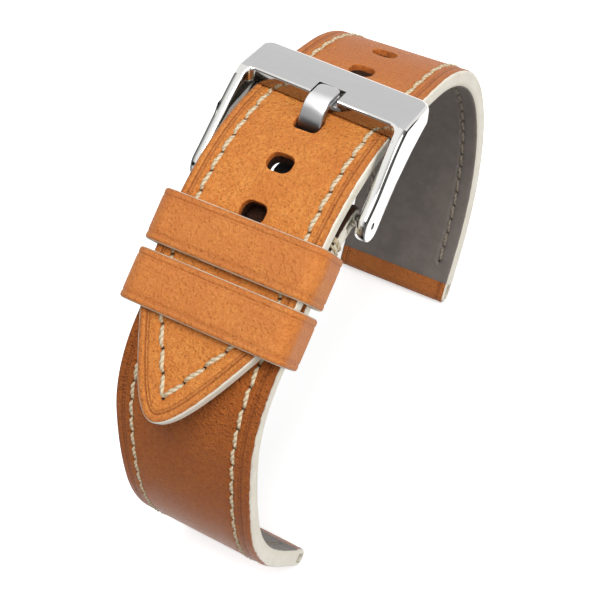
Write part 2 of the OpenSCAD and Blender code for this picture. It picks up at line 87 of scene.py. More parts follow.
def pick(piece, kind, test):
    # selects the vertices, edges or faces that pass the test, in edit mode
    bpy.ops.mesh.select_all(action="DESELECT")
    bpy.ops.mesh.select_mode(type=kind)
    mesh = bmesh.from_edit_mesh(piece.data)
    items = {"VERT": mesh.verts, "EDGE": mesh.edges, "FACE": mesh.faces}[kind]
    for item in items:
        item.select_set(bool(test(item)))
    mesh.select_flush_mode()
    bmesh.update_edit_mesh(piece.data)


def roundCorners(piece, axis, radius, segments, beyond=-1):
    # rounds the edges of a block that run along one axis, in edit mode
    pick(piece, "EDGE", lambda e: abs(e.verts[0].co[axis] - e.verts[1].co[axis]) > 0.001
         and e.verts[0].co.y > beyond)
    bpy.ops.mesh.bevel(offset=radius * mm, segments=segments, affect="EDGES")


def applyModifier(piece, kind, **settings):
    takeUp(piece)
    modifier = piece.modifiers.new(kind.title(), kind)
    for name, value in settings.items():
        setattr(modifier, name, value)
    bpy.ops.object.modifier_apply(modifier=modifier.name)


def boxTool(size, centre=(0, 0, 0)):
    # a block to cut or shape, in millimetres
    clearSelection()
    bpy.ops.mesh.primitive_cube_add(size=1)
    block = bpy.context.object
    block.dimensions = Vector(size) * mm
    block.location = Vector(centre) * mm
    settle()
    return block


def dropPiece(piece):
    bpy.data.objects.remove(piece, do_unlink=True)


def carve(piece, tool, operation="DIFFERENCE", **settings):
    applyModifier(piece, "BOOLEAN", object=tool, operation=operation, solver="EXACT", **settings)


def joinPieces(pieces, name):
    clearSelection()
    for piece in pieces:
        piece.select_set(True)
    bpy.context.view_layer.objects.active = pieces[0]
    bpy.ops.object.join()
    pieces[0].name = name
    return pieces[0]


def clearMaps(mesh):
    while mesh.uv_layers:
        mesh.uv_layers.remove(mesh.uv_layers[0])


def coat(piece, *materials):
    piece.data.materials.clear()
    for material in materials:
        piece.data.materials.append(material)


def finishPiece(piece, body, node, degrees=38):
    takeUp(piece)
    bpy.ops.object.shade_smooth_by_angle(angle=radians(degrees))
    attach(piece, body)
    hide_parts(node)
    print(piece.name, "done")


def rolledSheet(name, material, rings, maps):
    # a flat grid whose rows are laid on the rings, with the seam merged and the ends filled
    columns = len(rings[0])
    clearSelection()
    bpy.ops.mesh.primitive_grid_add(x_subdivisions=columns, y_subdivisions=len(rings) - 1, size=1)
    piece = bpy.context.object
    piece.name = name
    mesh = piece.data
    for vertex in mesh.vertices:
        row, column = divmod(vertex.index, columns + 1)
        vertex.co = Vector(rings[row][column % columns]) * mm
    clearMaps(mesh)
    for mapName, values in maps.items():
        layer = mesh.uv_layers.new(name=mapName)
        for loop in mesh.loops:
            row, column = divmod(loop.vertex_index, columns + 1)
            layer.data[loop.index].uv = values[row][column % columns]
    startEdit(piece)
    selectAll()
    bpy.ops.mesh.remove_doubles(threshold=0.000002)
    selectAll()
    bpy.ops.mesh.fill_holes(sides=0)
    faceOutwards()
    endEdit()
    coat(piece, material)
    return piece


def softStep(value, low, high):
    part = min(1, max(0, (value - low) / (high - low)))
    return part * part * (3 - 2 * part)


def bell(value, width):
    return exp(-(value / width) ** 2)


# Materials

def colour(red, green, blue):
    # a colour as a paint chart gives it, 0 to 255
    parts = [value / 255 for value in (red, green, blue)]
    return tuple(p / 12.92 if p <= 0.04045 else ((p + 0.055) / 1.055) ** 2.4 for p in parts) + (1,)


class Nodes:
    # short names for the nodes of one material, or of the world
    def __init__(self, name, owners=bpy.data.materials):
        self.owner = owners.new(name)
        self.owner.use_nodes = True
        self.tree = self.owner.node_tree
        self.shader = self.tree.nodes.get("Principled BSDF")
        self.spot = self.add("TexCoord").outputs["Object"]

    def put(self, socket, value):
        if hasattr(value, "is_linked"):
            self.tree.links.new(value, socket)
        else:
            socket.default_value = value

    def fill(self, node, sockets):
        for name, value in sockets.items():
            self.put(node.inputs[name], value)

    def add(self, kind, sockets=None, **settings):
        node = self.tree.nodes.new("ShaderNode" + kind)
        for name, value in settings.items():
            setattr(node, name, value)
        self.fill(node, sockets or {})
        return node

    def stretched(self, scale, turn=(0, 0, 0)):
        return self.add("Mapping", {"Vector": self.spot, "Scale": scale, "Rotation": turn}).outputs[0]

    def noise(self, scale, detail=3, rough=0.55, vector=None):
        sockets = {"Scale": scale, "Detail": detail, "Roughness": rough, "Vector": vector or self.spot}
        return self.add("TexNoise", sockets).outputs["Fac"]

    def cells(self, scale, feature):
        sockets = {"Scale": scale, "Vector": self.spot}
        return self.add("TexVoronoi", sockets, feature=feature).outputs["Distance"]

    def math(self, operation, first, second=0.0):
        return self.add("Math", {0: first, 1: second}, operation=operation).outputs[0]

    def plus(self, first, second):
        return self.math("ADD", first, second)

    def minus(self, first, second):
        return self.math("SUBTRACT", first, second)

    def times(self, first, second):
        return self.math("MULTIPLY", first, second)

    def between(self, value, low, high, most=1.0, least=0.0, way="SMOOTHSTEP"):
        sockets = {"Value": value, "From Min": low, "From Max": high, "To Min": least, "To Max": most}
        return self.add("MapRange", sockets, interpolation_type=way).outputs["Result"]

    def blend(self, factor, first, second):
        tones = [colour(*tone) if isinstance(tone, tuple) else tone for tone in (first, second)]
        node = self.add("Mix", {0: factor}, data_type="RGBA")
        self.fill(node, {6: tones[0], 7: tones[1]})
        return node.outputs[2]

    def uvParts(self, name):
        split = self.add("SeparateXYZ", {0: self.add("UVMap", uv_map=name).outputs["UV"]})
        return split.outputs[0], split.outputs[1]

    def wander(self, scale, detail, reach):
        return self.times(self.minus(self.noise(scale, detail), 0.5), reach)

    def relief(self, height, distance, strength):
        sockets = {"Strength": strength, "Distance": distance, "Height": height}
        return self.add("Bump", sockets).outputs["Normal"]

    def finish(self, tone, roughness, normal=None, metallic=0.0, specular=0.5):
        self.fill(self.shader, {"Base Color": tone, "Roughness": roughness, "Metallic": metallic,
                                "Specular IOR Level": specular})
        if normal:
            self.put(self.shader.inputs["Normal"], normal)
        return self.owner


creamTones = ((238, 233, 217), (229, 222, 205))
keeperTones = ((218, 206, 186), (192, 174, 150))
leatherLook = {
    "tan": (236, 156, 74),
    "deepTan": (216, 130, 54),
    "backShadeTan": (196, 112, 48),
    "pore": (184, 98, 38),
    "crease": (148, 80, 36),
    "paintedShadeTone": (38, 22, 14),
    "paint": creamTones,
    "lineTone": 1.0,
    "paintWidth": 0.2,
    "paintGrows": 0.0,
    "grainDepth": 0.00032,
    "specular": 0.36,
    "dullness": 0.0,
}


def makeLeather(name, **changes):
    look = {**leatherLook, **changes}
    n = Nodes(name)
    wide = n.noise(210, 5, 0.7)
    mottle = n.noise(1500, 4, 0.75)
    fine = n.noise(4200, 5, 0.7)
    speck = n.cells(1900, "F1")
    inset, along = n.uvParts("edgeMap")
    inset = n.times(inset, 100.0)
    pit, shade = n.uvParts("wearMap")
    skin = n.blend(n.between(wide, 0.35, 0.68), look["tan"], look["deepTan"])
    skin = n.blend(n.between(mottle, 0.36, 0.66), skin, look["deepTan"])
    # painted shade: the tone deepens where the long piece turns down at the back, away from the light
    skin = n.blend(n.between(along, 0.46, 0.6, 0.8), skin, look["backShadeTan"])
    skin = n.blend(n.between(fine, 0.43, 0.66, 0.62), skin, look["pore"])
    skin = n.blend(n.between(speck, 0.18, 0.05, 0.3), skin, look["pore"])
    # the two crease lines, and the rim burnished by the edge tool
    near = n.plus(inset, n.wander(260, 2, 0.08))
    first = n.times(n.between(near, 0.9, 1.12), n.between(near, 1.4, 1.14, 0.72))
    second = n.times(n.between(near, 1.34, 1.47), n.between(near, 1.72, 1.49, 0.55))
    lines = n.times(n.plus(first, second), look["lineTone"])
    skin = n.blend(lines, skin, look["crease"])
    skin = n.blend(n.between(near, 0.95, 0.3, 0.36), skin, look["crease"])
    # painted shade in the needle holes
    skin = n.blend(n.between(pit, 0.12, 0.8), skin, look["paintedShadeTone"])
    # painted shadow where the long piece covers the short one
    skin = n.blend(n.times(shade, 0.95), skin, look["paintedShadeTone"])
    # the paint reaches farther over the edge at the lug end
    edge = n.plus(inset, n.wander(700, 3, 0.14))
    edge = n.minus(edge, n.between(along, 0.6, 0.69, look["paintGrows"]))
    paint = n.between(edge, look["paintWidth"] + 0.03, look["paintWidth"] - 0.03)
    skin = n.blend(paint, skin, n.blend(n.between(n.noise(340, 4), 0.35, 0.7), *look["paint"]))
    # pebbles, pores and fine wrinkles; the paint is smooth
    pebble = n.between(n.cells(2300, "SMOOTH_F1"), 0.0, 0.42, -0.8)
    height = n.plus(pebble, n.times(n.plus(fine, mottle), 0.7))
    wrinkle = n.math("ABSOLUTE", n.minus(n.noise(1100, 3, 0.6), 0.5))
    height = n.plus(height, n.between(wrinkle, 0.0, 0.05, 0.16))
    height = n.plus(height, n.between(speck, 0.04, 0.2, 0.25))
    height = n.times(height, n.minus(1.0, n.times(paint, 0.95)))
    normal = n.relief(height, look["grainDepth"], 0.8)
    rough = n.plus(n.times(fine, 0.22), 0.4)
    rough = n.minus(rough, n.between(wide, 0.4, 0.7, 0.05))
    # the short piece is duller above its bend than below it
    rough = n.plus(rough, n.between(along, 0.58, 0.4, look["dullness"]))
    rough = n.minus(rough, n.between(along, 0.42, 0.62, look["dullness"]))
    return n.finish(skin, rough, normal, specular=look["specular"])


liningLook = {"grey": (132, 124, 118), "darkGrey": (118, 110, 105), "paintedShadeTone": (30, 26, 24),
              "paint": creamTones[0], "paintWidth": 0.16}


def makeLining(name):
    look = liningLook
    n = Nodes(name)
    fine = n.noise(4300, 4, 0.6)
    skin = n.blend(n.between(n.noise(300, 5, 0.7), 0.3, 0.7), look["grey"], look["darkGrey"])
    skin = n.blend(n.between(fine, 0.5, 0.75, 0.35), skin, look["darkGrey"])
    # painted shade in the needle holes
    skin = n.blend(n.between(n.uvParts("wearMap")[0], 0.12, 0.8), skin, look["paintedShadeTone"])
    edge = n.plus(n.times(n.uvParts("edgeMap")[0], 100.0), n.wander(700, 3, 0.1))
    paint = n.between(edge, look["paintWidth"] + 0.03, look["paintWidth"] - 0.03)
    skin = n.blend(paint, skin, look["paint"])
    hairs = n.noise(900, 3, 0.6, n.stretched((1, 2.2, 2.2)))
    normal = n.relief(n.plus(n.times(fine, 0.6), n.times(hairs, 0.5)), 0.00004, 0.55)
    return n.finish(skin, n.plus(n.times(fine, 0.2), 0.48), normal, specular=0.35)


def makePaint(name, tones):
    # thick edge paint, rubbed smooth, with faint runs along the edge
    n = Nodes(name)
    skin = n.blend(n.between(n.noise(340, 4), 0.35, 0.7), *tones)
    skin = n.blend(n.between(n.noise(2400, 4), 0.58, 0.8, 0.16), skin, (150, 128, 98))
    normal = n.relief(n.noise(700, 3), 0.00002, 0.5)
    return n.finish(skin, n.plus(n.times(n.noise(900, 2), 0.2), 0.32), normal, specular=0.45)


def makeRawLeather(name, light, dark):
    # the cut wall of a punched hole
    n = Nodes(name)
    skin = n.blend(n.between(n.noise(1800, 4), 0.35, 0.7), light, dark)
    normal = n.relief(n.noise(4200, 4, 0.7), 0.00008, 0.8)
    return n.finish(skin, n.plus(n.times(n.noise(3000), 0.2), 0.6), normal, specular=0.3)


def makeThread(name, light, dark, grooveShade):
    # linen thread: strands that run round the thread, read from its own map
    n = Nodes(name)
    around, along = n.uvParts("threadMap")
    turn = n.plus(n.times(around, 2.0), n.times(along, 3.2))
    strand = n.math("SINE", n.times(turn, 2 * pi))
    fibre = n.math("SINE", n.times(turn, 14 * pi))
    fuzz = n.noise(9000, 3, 0.7)
    skin = n.blend(n.between(fuzz, 0.3, 0.7), light, dark)
    # painted shade in the grooves between the strands
    skin = n.blend(n.between(strand, -0.25, -0.95, 0.55), skin, grooveShade)
    height = n.plus(n.plus(strand, n.times(fibre, 0.18)), n.times(fuzz, 0.5))
    normal = n.relief(height, 0.00006, 0.9)
    return n.finish(skin, n.plus(n.times(fuzz, 0.2), 0.55), normal, specular=0.3)


def satinSteel(n, streak, tone, roughness):
    rough = n.plus(n.times(streak, 0.06), roughness)
    return n.finish(tone, rough, n.relief(streak, 0.000004, 0.3), metallic=1.0)


def shinySteel(n, marks, tone, roughness):
    rough = n.plus(n.times(marks, 0.06), roughness)
    return n.finish(tone, rough, n.relief(n.noise(260, 2), 0.00002, 0.35), metallic=1.0)


def fineMarks(n):
    return n.noise(2200, 4, 0.7, n.stretched((1, 0.3, 1), (0.4, 0.2, 0.7)))


def makeBrushedSteel(name):
    n = Nodes(name)
    streak = n.noise(3000, 3, 0.6, n.stretched((0.06, 1, 1)))
    tone = n.blend(n.between(streak, 0.3, 0.7), (194, 194, 194), (191, 191, 191))
    return satinSteel(n, streak, tone, 0.34)


def makePolishedSteel(name, light, dark):
    n = Nodes(name)
    marks = fineMarks(n)
    return shinySteel(n, marks, n.blend(n.between(marks, 0.5, 0.8), light, dark), 0.06)


paintedLegReflection = {"from": (0.01165, 0.0122), "to": (0.01249, 0.01238)}


def makeLegSteel(name):
    # polished legs, with a dark band painted on the rounded outer edge as a painted reflection of the dark
    # side of the room
    n = Nodes(name)
    side = n.math("ABSOLUTE", n.add("SeparateXYZ", {0: n.spot}).outputs[0])
    band = n.times(n.between(side, *paintedLegReflection["from"]), n.between(side, *paintedLegReflection["to"]))
    return shinySteel(n, fineMarks(n), n.blend(band, (234, 233, 230), (92, 91, 90)), 0.08)


def makeTongueSteel(name):
    # satin steel with painted light read from its own map: painted shade in its hole and a painted highlight
    # on its bend
    n = Nodes(name)
    streak = n.noise(3000, 3, 0.6, n.stretched((1, 0.1, 0.1)))
    tone = n.blend(n.uvParts("steelMap")[0], (58, 58, 60), (244, 244, 244))
    return satinSteel(n, streak, tone, 0.27)


tanLeather = makeLeather("tanLeather")
# painted shade: the short piece gets a darker copy of the tan leather, as it faces away from the light
shadedShortLeather = makeLeather("shadedShortTanLeather", paintWidth=0.04, tan=(203, 116, 44), deepTan=(182, 97, 32),
                           paintGrows=0.34, specular=0.34, dullness=0.16, grainDepth=0.0008)
keeperLeather = makeLeather("keeperTanLeather", lineTone=0.45, grainDepth=0.00018, tan=(220, 142, 67),
                            deepTan=(203, 120, 51), paint=keeperTones)
greyLining = makeLining("greyLining")
creamPaint = makePaint("creamEdgePaint", creamTones)
keeperPaint = makePaint("keeperEdgePaint", keeperTones)
rawLeather = makeRawLeather("rawLeather", (196, 110, 46), (150, 78, 30))
# a darker copy of the raw leather for the hole walls in the lining: painted shade deep in the holes
shadedRawLeather = makeRawLeather("shadedRawLeather", (70, 42, 24), (40, 26, 17))
linenThread = makeThread("linenThread", (236, 222, 192), (214, 196, 160), (150, 116, 78))
# a darker copy of the thread, for the rows on the lining side
liningSideThread = makeThread("liningSideThread", (172, 161, 144), (150, 139, 123), (104, 94, 82))
brushedSteel = makeBrushedSteel("brushedSteel")
polishedSteel = makePolishedSteel("polishedSteel", (228, 227, 224), (216, 215, 212))
# darker copies of the polished steel for the bar's near wall and the legs' inner sides: painted shade
shadedWallSteel = makePolishedSteel("shadedWallSteel", (160, 156, 152), (140, 137, 134))
shadedSteel = makePolishedSteel("shadedSteel", (118, 113, 108), (100, 96, 92))
legSteel = makeLegSteel("legSteel")
tongueSteel = makeTongueSteel("tongueSteel")
print("materials ready")


# The side curves of the two strap pieces, as in the CAD model

strap = {
    "half": 10.0,
    "longLength": 124.0,
    "shortLength": 78.0,
    "outer": 0.8,
    "lining": 0.8,
    "tail": 2.2,
    "run": 2.4,
    "lug": 3.4,
    "shortLug": 2.8,
    "skived": 0.2,
    "skiveOver": (0.7, 1.4),
    "skiveBelow": -0.3,
    "heel": 3.2,
    "band": 3.9,
    "lapGap": 0.3,
    "longCurve": [(24, 0), (20, -38), (16, -10), (22, -52), (36, -54), (6, 0)],
    "shortCurve": [(9, 30), (13, 0), (13.5, 44), (14, 12), (14, 26), (8.5, 6), (6, 0)],
    "tilt": -23.7452,
    "midY": 34.3916,
    "floorZ": -49.2612,
    "hingeRun": 9,
    "hingeBend": -30,
    "thicken": (60, 118),
    "thin": (1.6, 6.4),
    "shortThicken": (22, 72),
}


def stepAlong(pose, length, bend, way):
    y, z, heading = pose
    if abs(bend) < 0.000001:
        return y + way * length * cos(heading), z + way * length * sin(heading), heading
    curl = bend / length
    end = heading + bend
    return (y + way * (sin(end) - sin(heading)) / curl,
            z - way * (cos(end) - cos(heading)) / curl, end)


def walkCurve(pose, curve, way, distance):
    for length, bend in curve:
        if distance <= length:
            return stepAlong(pose, distance, radians(bend) * distance / length, way)
        pose = stepAlong(pose, length, radians(bend), way)
        distance -= length
    return stepAlong(pose, distance, 0, way)


def stood(pose):
    # from the level drawing to the strap standing on its lug ends
    y, z, heading = pose
    tilt = radians(strap["tilt"])
    return (y * cos(tilt) + z * sin(tilt) - strap["midY"],
            z * cos(tilt) - y * sin(tilt) - strap["floorZ"], heading - tilt)


def over(pose, height):
    return pose[0] - sin(pose[2]) * height, pose[1] + cos(pose[2]) * height


hingeStart = stepAlong((strap["longCurve"][0][0], -strap["tail"] - strap["lapGap"], 0), strap["hingeRun"],
                       radians(strap["hingeBend"]), 1)


def longPose(s):
    return stood(walkCurve((0, 0, 0), strap["longCurve"], 1, s))


def shortPose(s):
    return stood(walkCurve(hingeStart, strap["shortCurve"], -1, s))


def rampTo(s, low, high):
    return min(1, max(0, (s - low) / (high - low)))


def longThick(s):
    return strap["tail"] + (strap["lug"] - strap["tail"]) * rampTo(s, *strap["thicken"])


def shortThick(s):
    heel = (strap["heel"] - strap["run"]) * (1 - rampTo(s, *strap["thin"]))
    lug = (strap["shortLug"] - strap["run"]) * rampTo(s, *strap["shortThicken"])
    return strap["run"] + heel + lug


def poseMatrix(pose, x=0, along=0, height=0):
    turn = Matrix.Rotation(pose[2], 4, "X")
    return Matrix.Translation(Vector((0, pose[0], pose[1])) * mm) @ turn @ Matrix.Translation(
        Vector((x, along, height)) * mm)


def wrapped(pose, way, radius, angle, height):
    # a point on leather turned round a bar, an angle past the end of the run
    y, z, heading = pose
    up = (-sin(heading), cos(heading))
    out = (way * cos(heading), way * sin(heading))
    reach = radius + height
    return (y - up[0] * radius + reach * (up[0] * cos(angle) + out[0] * sin(angle)),
            z - up[1] * radius + reach * (up[1] * cos(angle) + out[1] * sin(angle)))


# Stitch rows: each stitch is a line between two needle holes, in the plan of its strap

stitching = {
    "pitch": 2.83,
    "row": 7.5,
    "veeAt": 3.2,
    "veeJoin": 16.5,
    "longEnd": 120.8,
    "shortFrom": 10.5,
    "shortEnd": 74.8,
    # how deep and how wide the thread, the pucker, the hole and the ridge beside them are pressed
    "rowDip": (-0.09, 0.36),
    "pucker": (-0.07, 0.75),
    "holeDip": (-0.34, 0.23),
    "ridge": (0.035, 0.25),
    "ridgeAt": 0.72,
    "holeShade": 0.27,
    "reach": 1.6,
    "nearby": 2.4,
}

tip = {"length": 15.9, "nose": 1.9, "lean": 1.3, "leanTo": 24.0, "fade": (5, 22)}
tip["flare"] = (strap["half"] ** 2 - 2 * tip["nose"] * tip["length"]) / tip["length"] ** 2


def tipHalf(s):
    if s >= tip["length"]:
        return strap["half"]
    return sqrt(2 * tip["nose"] * s + tip["flare"] * s * s)


def tipLean(s):
    return -tip["lean"] * (1 - min(s, tip["leanTo"]) / tip["leanTo"]) ** 1.4


def straightSeams(first, last):
    count = int((last - first) / stitching["pitch"] + 0.0001)
    lines = []
    for side in (-1, 1):
        for i in range(count):
            low = first + i * stitching["pitch"]
            lines.append((side * stitching["row"], low, side * stitching["row"], low + stitching["pitch"]))
    return lines


def veeSeams():
    run = stitching["veeJoin"] - stitching["veeAt"]
    count = round(hypot(run, stitching["row"]) / stitching["pitch"])
    spots = [(stitching["row"] * i / count, stitching["veeAt"] + run * i / count) for i in range(count + 1)]
    lines = []
    for side in (-1, 1):
        for (x0, s0), (x1, s1) in zip(spots, spots[1:]):
            lines.append((side * x0 + tipLean(s0), s0, side * x1 + tipLean(s1), s1))
    return lines


longSeams = veeSeams() + straightSeams(stitching["veeJoin"], stitching["longEnd"])
shortSeams = straightSeams(stitching["shortFrom"], stitching["shortEnd"])


def seamTable(seams):
    table = {}
    for seam in seams:
        for key in range(int(seam[1] - 1.5), int(seam[3] + 2.5)):
            table.setdefault(key, []).append(seam)
    return table


def seamRelief(table, x, s):
    # how far the thread pulls the leather down at a point, and how much painted shade darkens the needle
    # hole there
    rowAway = 9.0
    holeAway = 9.0
    for x0, s0, x1, s1 in table.get(int(s), ()):
        if min(abs(x - x0), abs(x - x1)) > stitching["nearby"]:
            continue
        runX = x1 - x0
        runS = s1 - s0
        part = ((x - x0) * runX + (s - s0) * runS) / (runX * runX + runS * runS)
        part = min(1, max(0, part))
        rowAway = min(rowAway, hypot(x - x0 - runX * part, s - s0 - runS * part))
        holeAway = min(holeAway, hypot(x - x0, s - s0), hypot(x - x1, s - s1))
    if rowAway > stitching["reach"]:
        return 0.0, 0.0
    drop = 0.0
    for name, away in (("rowDip", rowAway), ("pucker", holeAway), ("holeDip", holeAway),
                       ("ridge", rowAway - stitching["ridgeAt"])):
        depth, width = stitching[name]
        drop += depth * bell(away, width)
    return drop, bell(holeAway, stitching["holeShade"])


# The outer leather: a rounded painted edge, two crease lines, the stitch row and the plain middle

outerSection = [
    (0.0, -0.8), (0.0, -0.58), (0.02, -0.4), (0.07, -0.25), (0.15, -0.13), (0.27, -0.05), (0.42, -0.01),
    (0.62, 0.01), (0.85, 0.01), (0.98, -0.015), (1.06, -0.06), (1.12, -0.085), (1.18, -0.06),
    (1.26, -0.012), (1.34, -0.012), (1.41, -0.045), (1.47, -0.055), (1.53, -0.04), (1.62, -0.005),
    (1.78, 0.0),
]
sewnFrom = 1.7
seamColumns = [1.95 + 0.118 * i for i in range(14)]
middleColumns = [3.9, 4.7, 5.8, 7.1, 8.5]
liningSection = [(0.0, -0.8), (0.0, -0.58), (0.04, -0.36), (0.12, -0.18), (0.25, -0.06), (0.45, 0.0),
                 (0.9, 0.0), (1.4, 0.0), (1.78, 0.0)]


def sectionColumns(section):
    return section + [(inset, 0.0) for inset in seamColumns + middleColumns]


def tailRib(s, side):
    # from the edge towards the middle, square to the edge round the tip
    half = tipHalf(s)
    edge = Vector((min(strap["half"], max(-strap["half"], tipLean(s) + side * half)), s))
    fade = 1 - softStep(s, *tip["fade"])
    deep = s + (tip["nose"] + tip["flare"] * s) * fade
    middle = Vector((tipLean(deep), deep))
    step = 0.01
    nextHalf = tipHalf(s + step)
    slope = (nextHalf - half) / step if s < tip["length"] else 0.0
    normal = Vector((-side, slope)).normalized() if slope < 40 else Vector((0, 1))
    away = middle - edge
    length = away.length
    squareness = max(0.5, normal.dot(away / length)) if s > 0.001 else 1.0
    return edge, middle, length, squareness


def plainRib(s, side):
    return Vector((side * strap["half"], s)), Vector((0.0, s)), strap["half"], 1.0


def ribPoints(rib, columns):
    # the plan places of the columns on one rib, with their inset from the edge
    edge, middle, length, squareness = rib
    last = seamColumns[-1]
    points = []
    for inset, height in columns:
        away = inset / squareness
        if inset > last and length > last:
            away = last + (inset - last) * (length - last) / (strap["half"] - last)
        away = min(away, length)
        spot = edge + (middle - edge) * (away / length)
        points.append((spot.x, spot.y, inset, height))
    return points, middle


def stationsFrom(first, last, gap):
    count = max(1, round((last - first) / gap))
    return [first + (last - first) * i / count for i in range(count + 1)]


ribGap = 0.28
sewnGap = stitching["pitch"] / 10
turnGap = 0.3
backGap = 0.4


def tailStations(last, gap):
    # close together round the nose, where the edge turns fast
    found = [0.0]
    step = 0.22
    half = step
    while True:
        inside = tip["nose"] ** 2 + tip["flare"] * half * half
        s = (-tip["nose"] + sqrt(inside)) / tip["flare"]
        if s - found[-1] > ribGap:
            return found + stationsFrom(found[-1] + ribGap, last, gap)
        found.append(s)
        half += step


def layerRings(stations, rib, columns, table, place, covered=-999):
    # one closed ring of points for each station: one edge, the face, the other edge
    rings = []
    edges = []
    shadeRows = []
    for station in stations:
        # painted shadow: full under the long piece, fading out over the last 2 mm before it ends
        shade = 1.0 - softStep(station, covered - 2, covered)
        left, middle = ribPoints(rib(station, -1), columns)
        right = ribPoints(rib(station, 1), columns)[0]
        points = left + [(middle.x, middle.y, strap["half"], 0.0)] + right[::-1]
        pressed = [seamRelief(table, x, s) if inset > sewnFrom else (0.0, 0.0)
                   for x, s, inset, height in points]
        rings.append([place(x, s, height + drop)
                      for (x, s, inset, height), (drop, dark) in zip(points, pressed)])
        edges.append([(inset / 100, s / 100) for x, s, inset, height in points])
        shadeRows.append([(dark, shade) for drop, dark in pressed])
    return rings, {"edgeMap": edges, "wearMap": shadeRows}


# Hole cutters, flared where the punch rounds the leather

tailHoles = {"at": 41.8, "pitch": 7.1, "before": 2, "after": 3, "width": 3.3, "length": 2.7,
             "corner": 1.1, "tongueWidth": 3.5, "tongueLength": 2.9, "tongueCorner": 0.85,
             "depth": 4, "flareFrom": 2.16,
             "flare": ((0.07, 1.012), (0.06, 1.025), (0.05, 1.045), (0.6, 1.0))}


def holeCutter(s):
    size = (tailHoles["width"], tailHoles["length"], tailHoles["corner"])
    if s == tailHoles["at"]:
        size = (tailHoles["tongueWidth"], tailHoles["tongueLength"], tailHoles["tongueCorner"])
    cutter = boxTool((size[0], size[1], tailHoles["depth"]))
    startEdit(cutter)
    selectAll()
    bpy.ops.transform.translate(value=(0, 0, -tailHoles["flareFrom"] * mm))
    roundCorners(cutter, 2, size[2], 6)
    for rise, grow in tailHoles["flare"]:
        pick(cutter, "FACE", lambda f: f.normal.z > 0.9)
        bpy.ops.mesh.extrude_region_move(TRANSFORM_OT_translate={"value": (0, 0, rise * mm)})
        bpy.ops.transform.resize(value=(grow, grow, 1))
    endEdit()
    coat(cutter, rawLeather)
    place(cutter, poseMatrix(longPose(s)))
    return cutter


holePlaces = [tailHoles["at"] + i * tailHoles["pitch"]
              for i in range(-tailHoles["before"], tailHoles["after"] + 1)]
holeTool = joinPieces([holeCutter(s) for s in holePlaces], "holeTool")


def punch(piece):
    carve(piece, holeTool, material_mode="TRANSFER")


# Long piece

longTable = seamTable(longSeams)
lugRadius = strap["lug"] / 2
bandBack = strap["band"] - lugRadius


def turnedPlace(path, way, length, lug, u, height):
    # the run, the turn round the lug bore, and the band that comes back on the lining side
    radius = lug / 2
    if u <= length:
        return over(path(u), height)
    if u <= length + pi * radius:
        return wrapped(path(length), way, radius, (u - length) / radius, height)
    back = u - length - pi * radius
    return over(path(length - back), -lug - height)


def lugStations(length, lug):
    turned = length + pi * lug / 2
    back = strap["band"] - lug / 2
    return stationsFrom(length, turned, turnGap)[1:] + stationsFrom(turned, turned + back, backGap)[1:]


def longOuterPlace(x, u, height):
    return (x,) + turnedPlace(longPose, 1, strap["longLength"], strap["lug"], u, height)


longStations = tailStations(strap["longLength"], sewnGap) + lugStations(strap["longLength"], strap["lug"])
longOuter = rolledSheet("longOuterLeather", tanLeather, *layerRings(
    longStations, tailRib, sectionColumns(outerSection), longTable, longOuterPlace))
punch(longOuter)
finishPiece(longOuter, "strap", "long_outer_leather")


def liningPlace(path, thick):
    return lambda x, s, height: (x,) + over(path(s), -thick(s) - height)


sliver = 0.05
longLining = rolledSheet("longLining", greyLining, *layerRings(
    tailStations(strap["longLength"] - bandBack - sliver, sewnGap), tailRib, sectionColumns(liningSection),
    longTable, liningPlace(longPose, longThick)))
# the lining's hole walls get the painted shade
coat(holeTool, shadedRawLeather)
punch(longLining)
finishPiece(longLining, "strap", "long_lining")


def fillerRings(stations, rib, path, thick):
    top = -strap["outer"]
    rings = []
    for station in stations:
        ring = []
        for side, depths in ((-1, (1, 0.5, 0)), (1, (0, 0.5, 1))):
            spot = rib(station, side)[0]
            low = strap["lining"] - thick(spot.y)
            ring += [(spot.x,) + over(path(spot.y), top + (low - top) * part) for part in depths]
        rings.append(ring)
    flat = [[(0.0, 0.0)] * len(ring) for ring in rings]
    return rings, {"edgeMap": flat, "wearMap": flat}


fillerGap = 0.7
longFiller = rolledSheet("longFiller", creamPaint, *fillerRings(
    tailStations(strap["longLength"] - lugRadius - sliver, fillerGap), tailRib, longPose, longThick))
punch(longFiller)
finishPiece(longFiller, "strap", "long_filler")


# Short piece, turned round the hinge bar at one end and the lug bore at the other

heelRadius = strap["heel"] / 2
heelTurn = pi * heelRadius
heelFlap = 7.5
shortTable = seamTable(shortSeams)
hingePose = shortPose(0)
hinge = over(hingePose, -heelRadius)
shortRadius = strap["shortLug"] / 2
shortTurn = pi * shortRadius
shortBack = strap["band"] - shortRadius


def shortOuterPlace(x, u, height):
    length = strap["shortLength"]
    # the leather is skived where it turns round the lug bore
    near, far = strap["skiveOver"]
    turned = softStep(u, length - far, length - near)
    turned -= softStep(u, length + shortTurn + near, length + shortTurn + far)
    if height < strap["skiveBelow"]:
        height += strap["skived"] * strap["outer"] * turned
    if u < -heelTurn:
        s = -u - heelTurn
        return (x,) + over(shortPose(s), -shortThick(s) - height)
    if u < 0:
        return (x,) + wrapped(hingePose, 1, heelRadius, -u / heelRadius, height)
    return (x,) + turnedPlace(shortPose, -1, length, strap["shortLug"], u, height)


flapGap = 0.5
shortStations = stationsFrom(-heelTurn - heelFlap, -heelTurn, flapGap)
shortStations += stationsFrom(-heelTurn, 0, turnGap)[1:]
shortStations += stationsFrom(0, strap["shortLength"], sewnGap)[1:]
shortStations += lugStations(strap["shortLength"], strap["shortLug"])
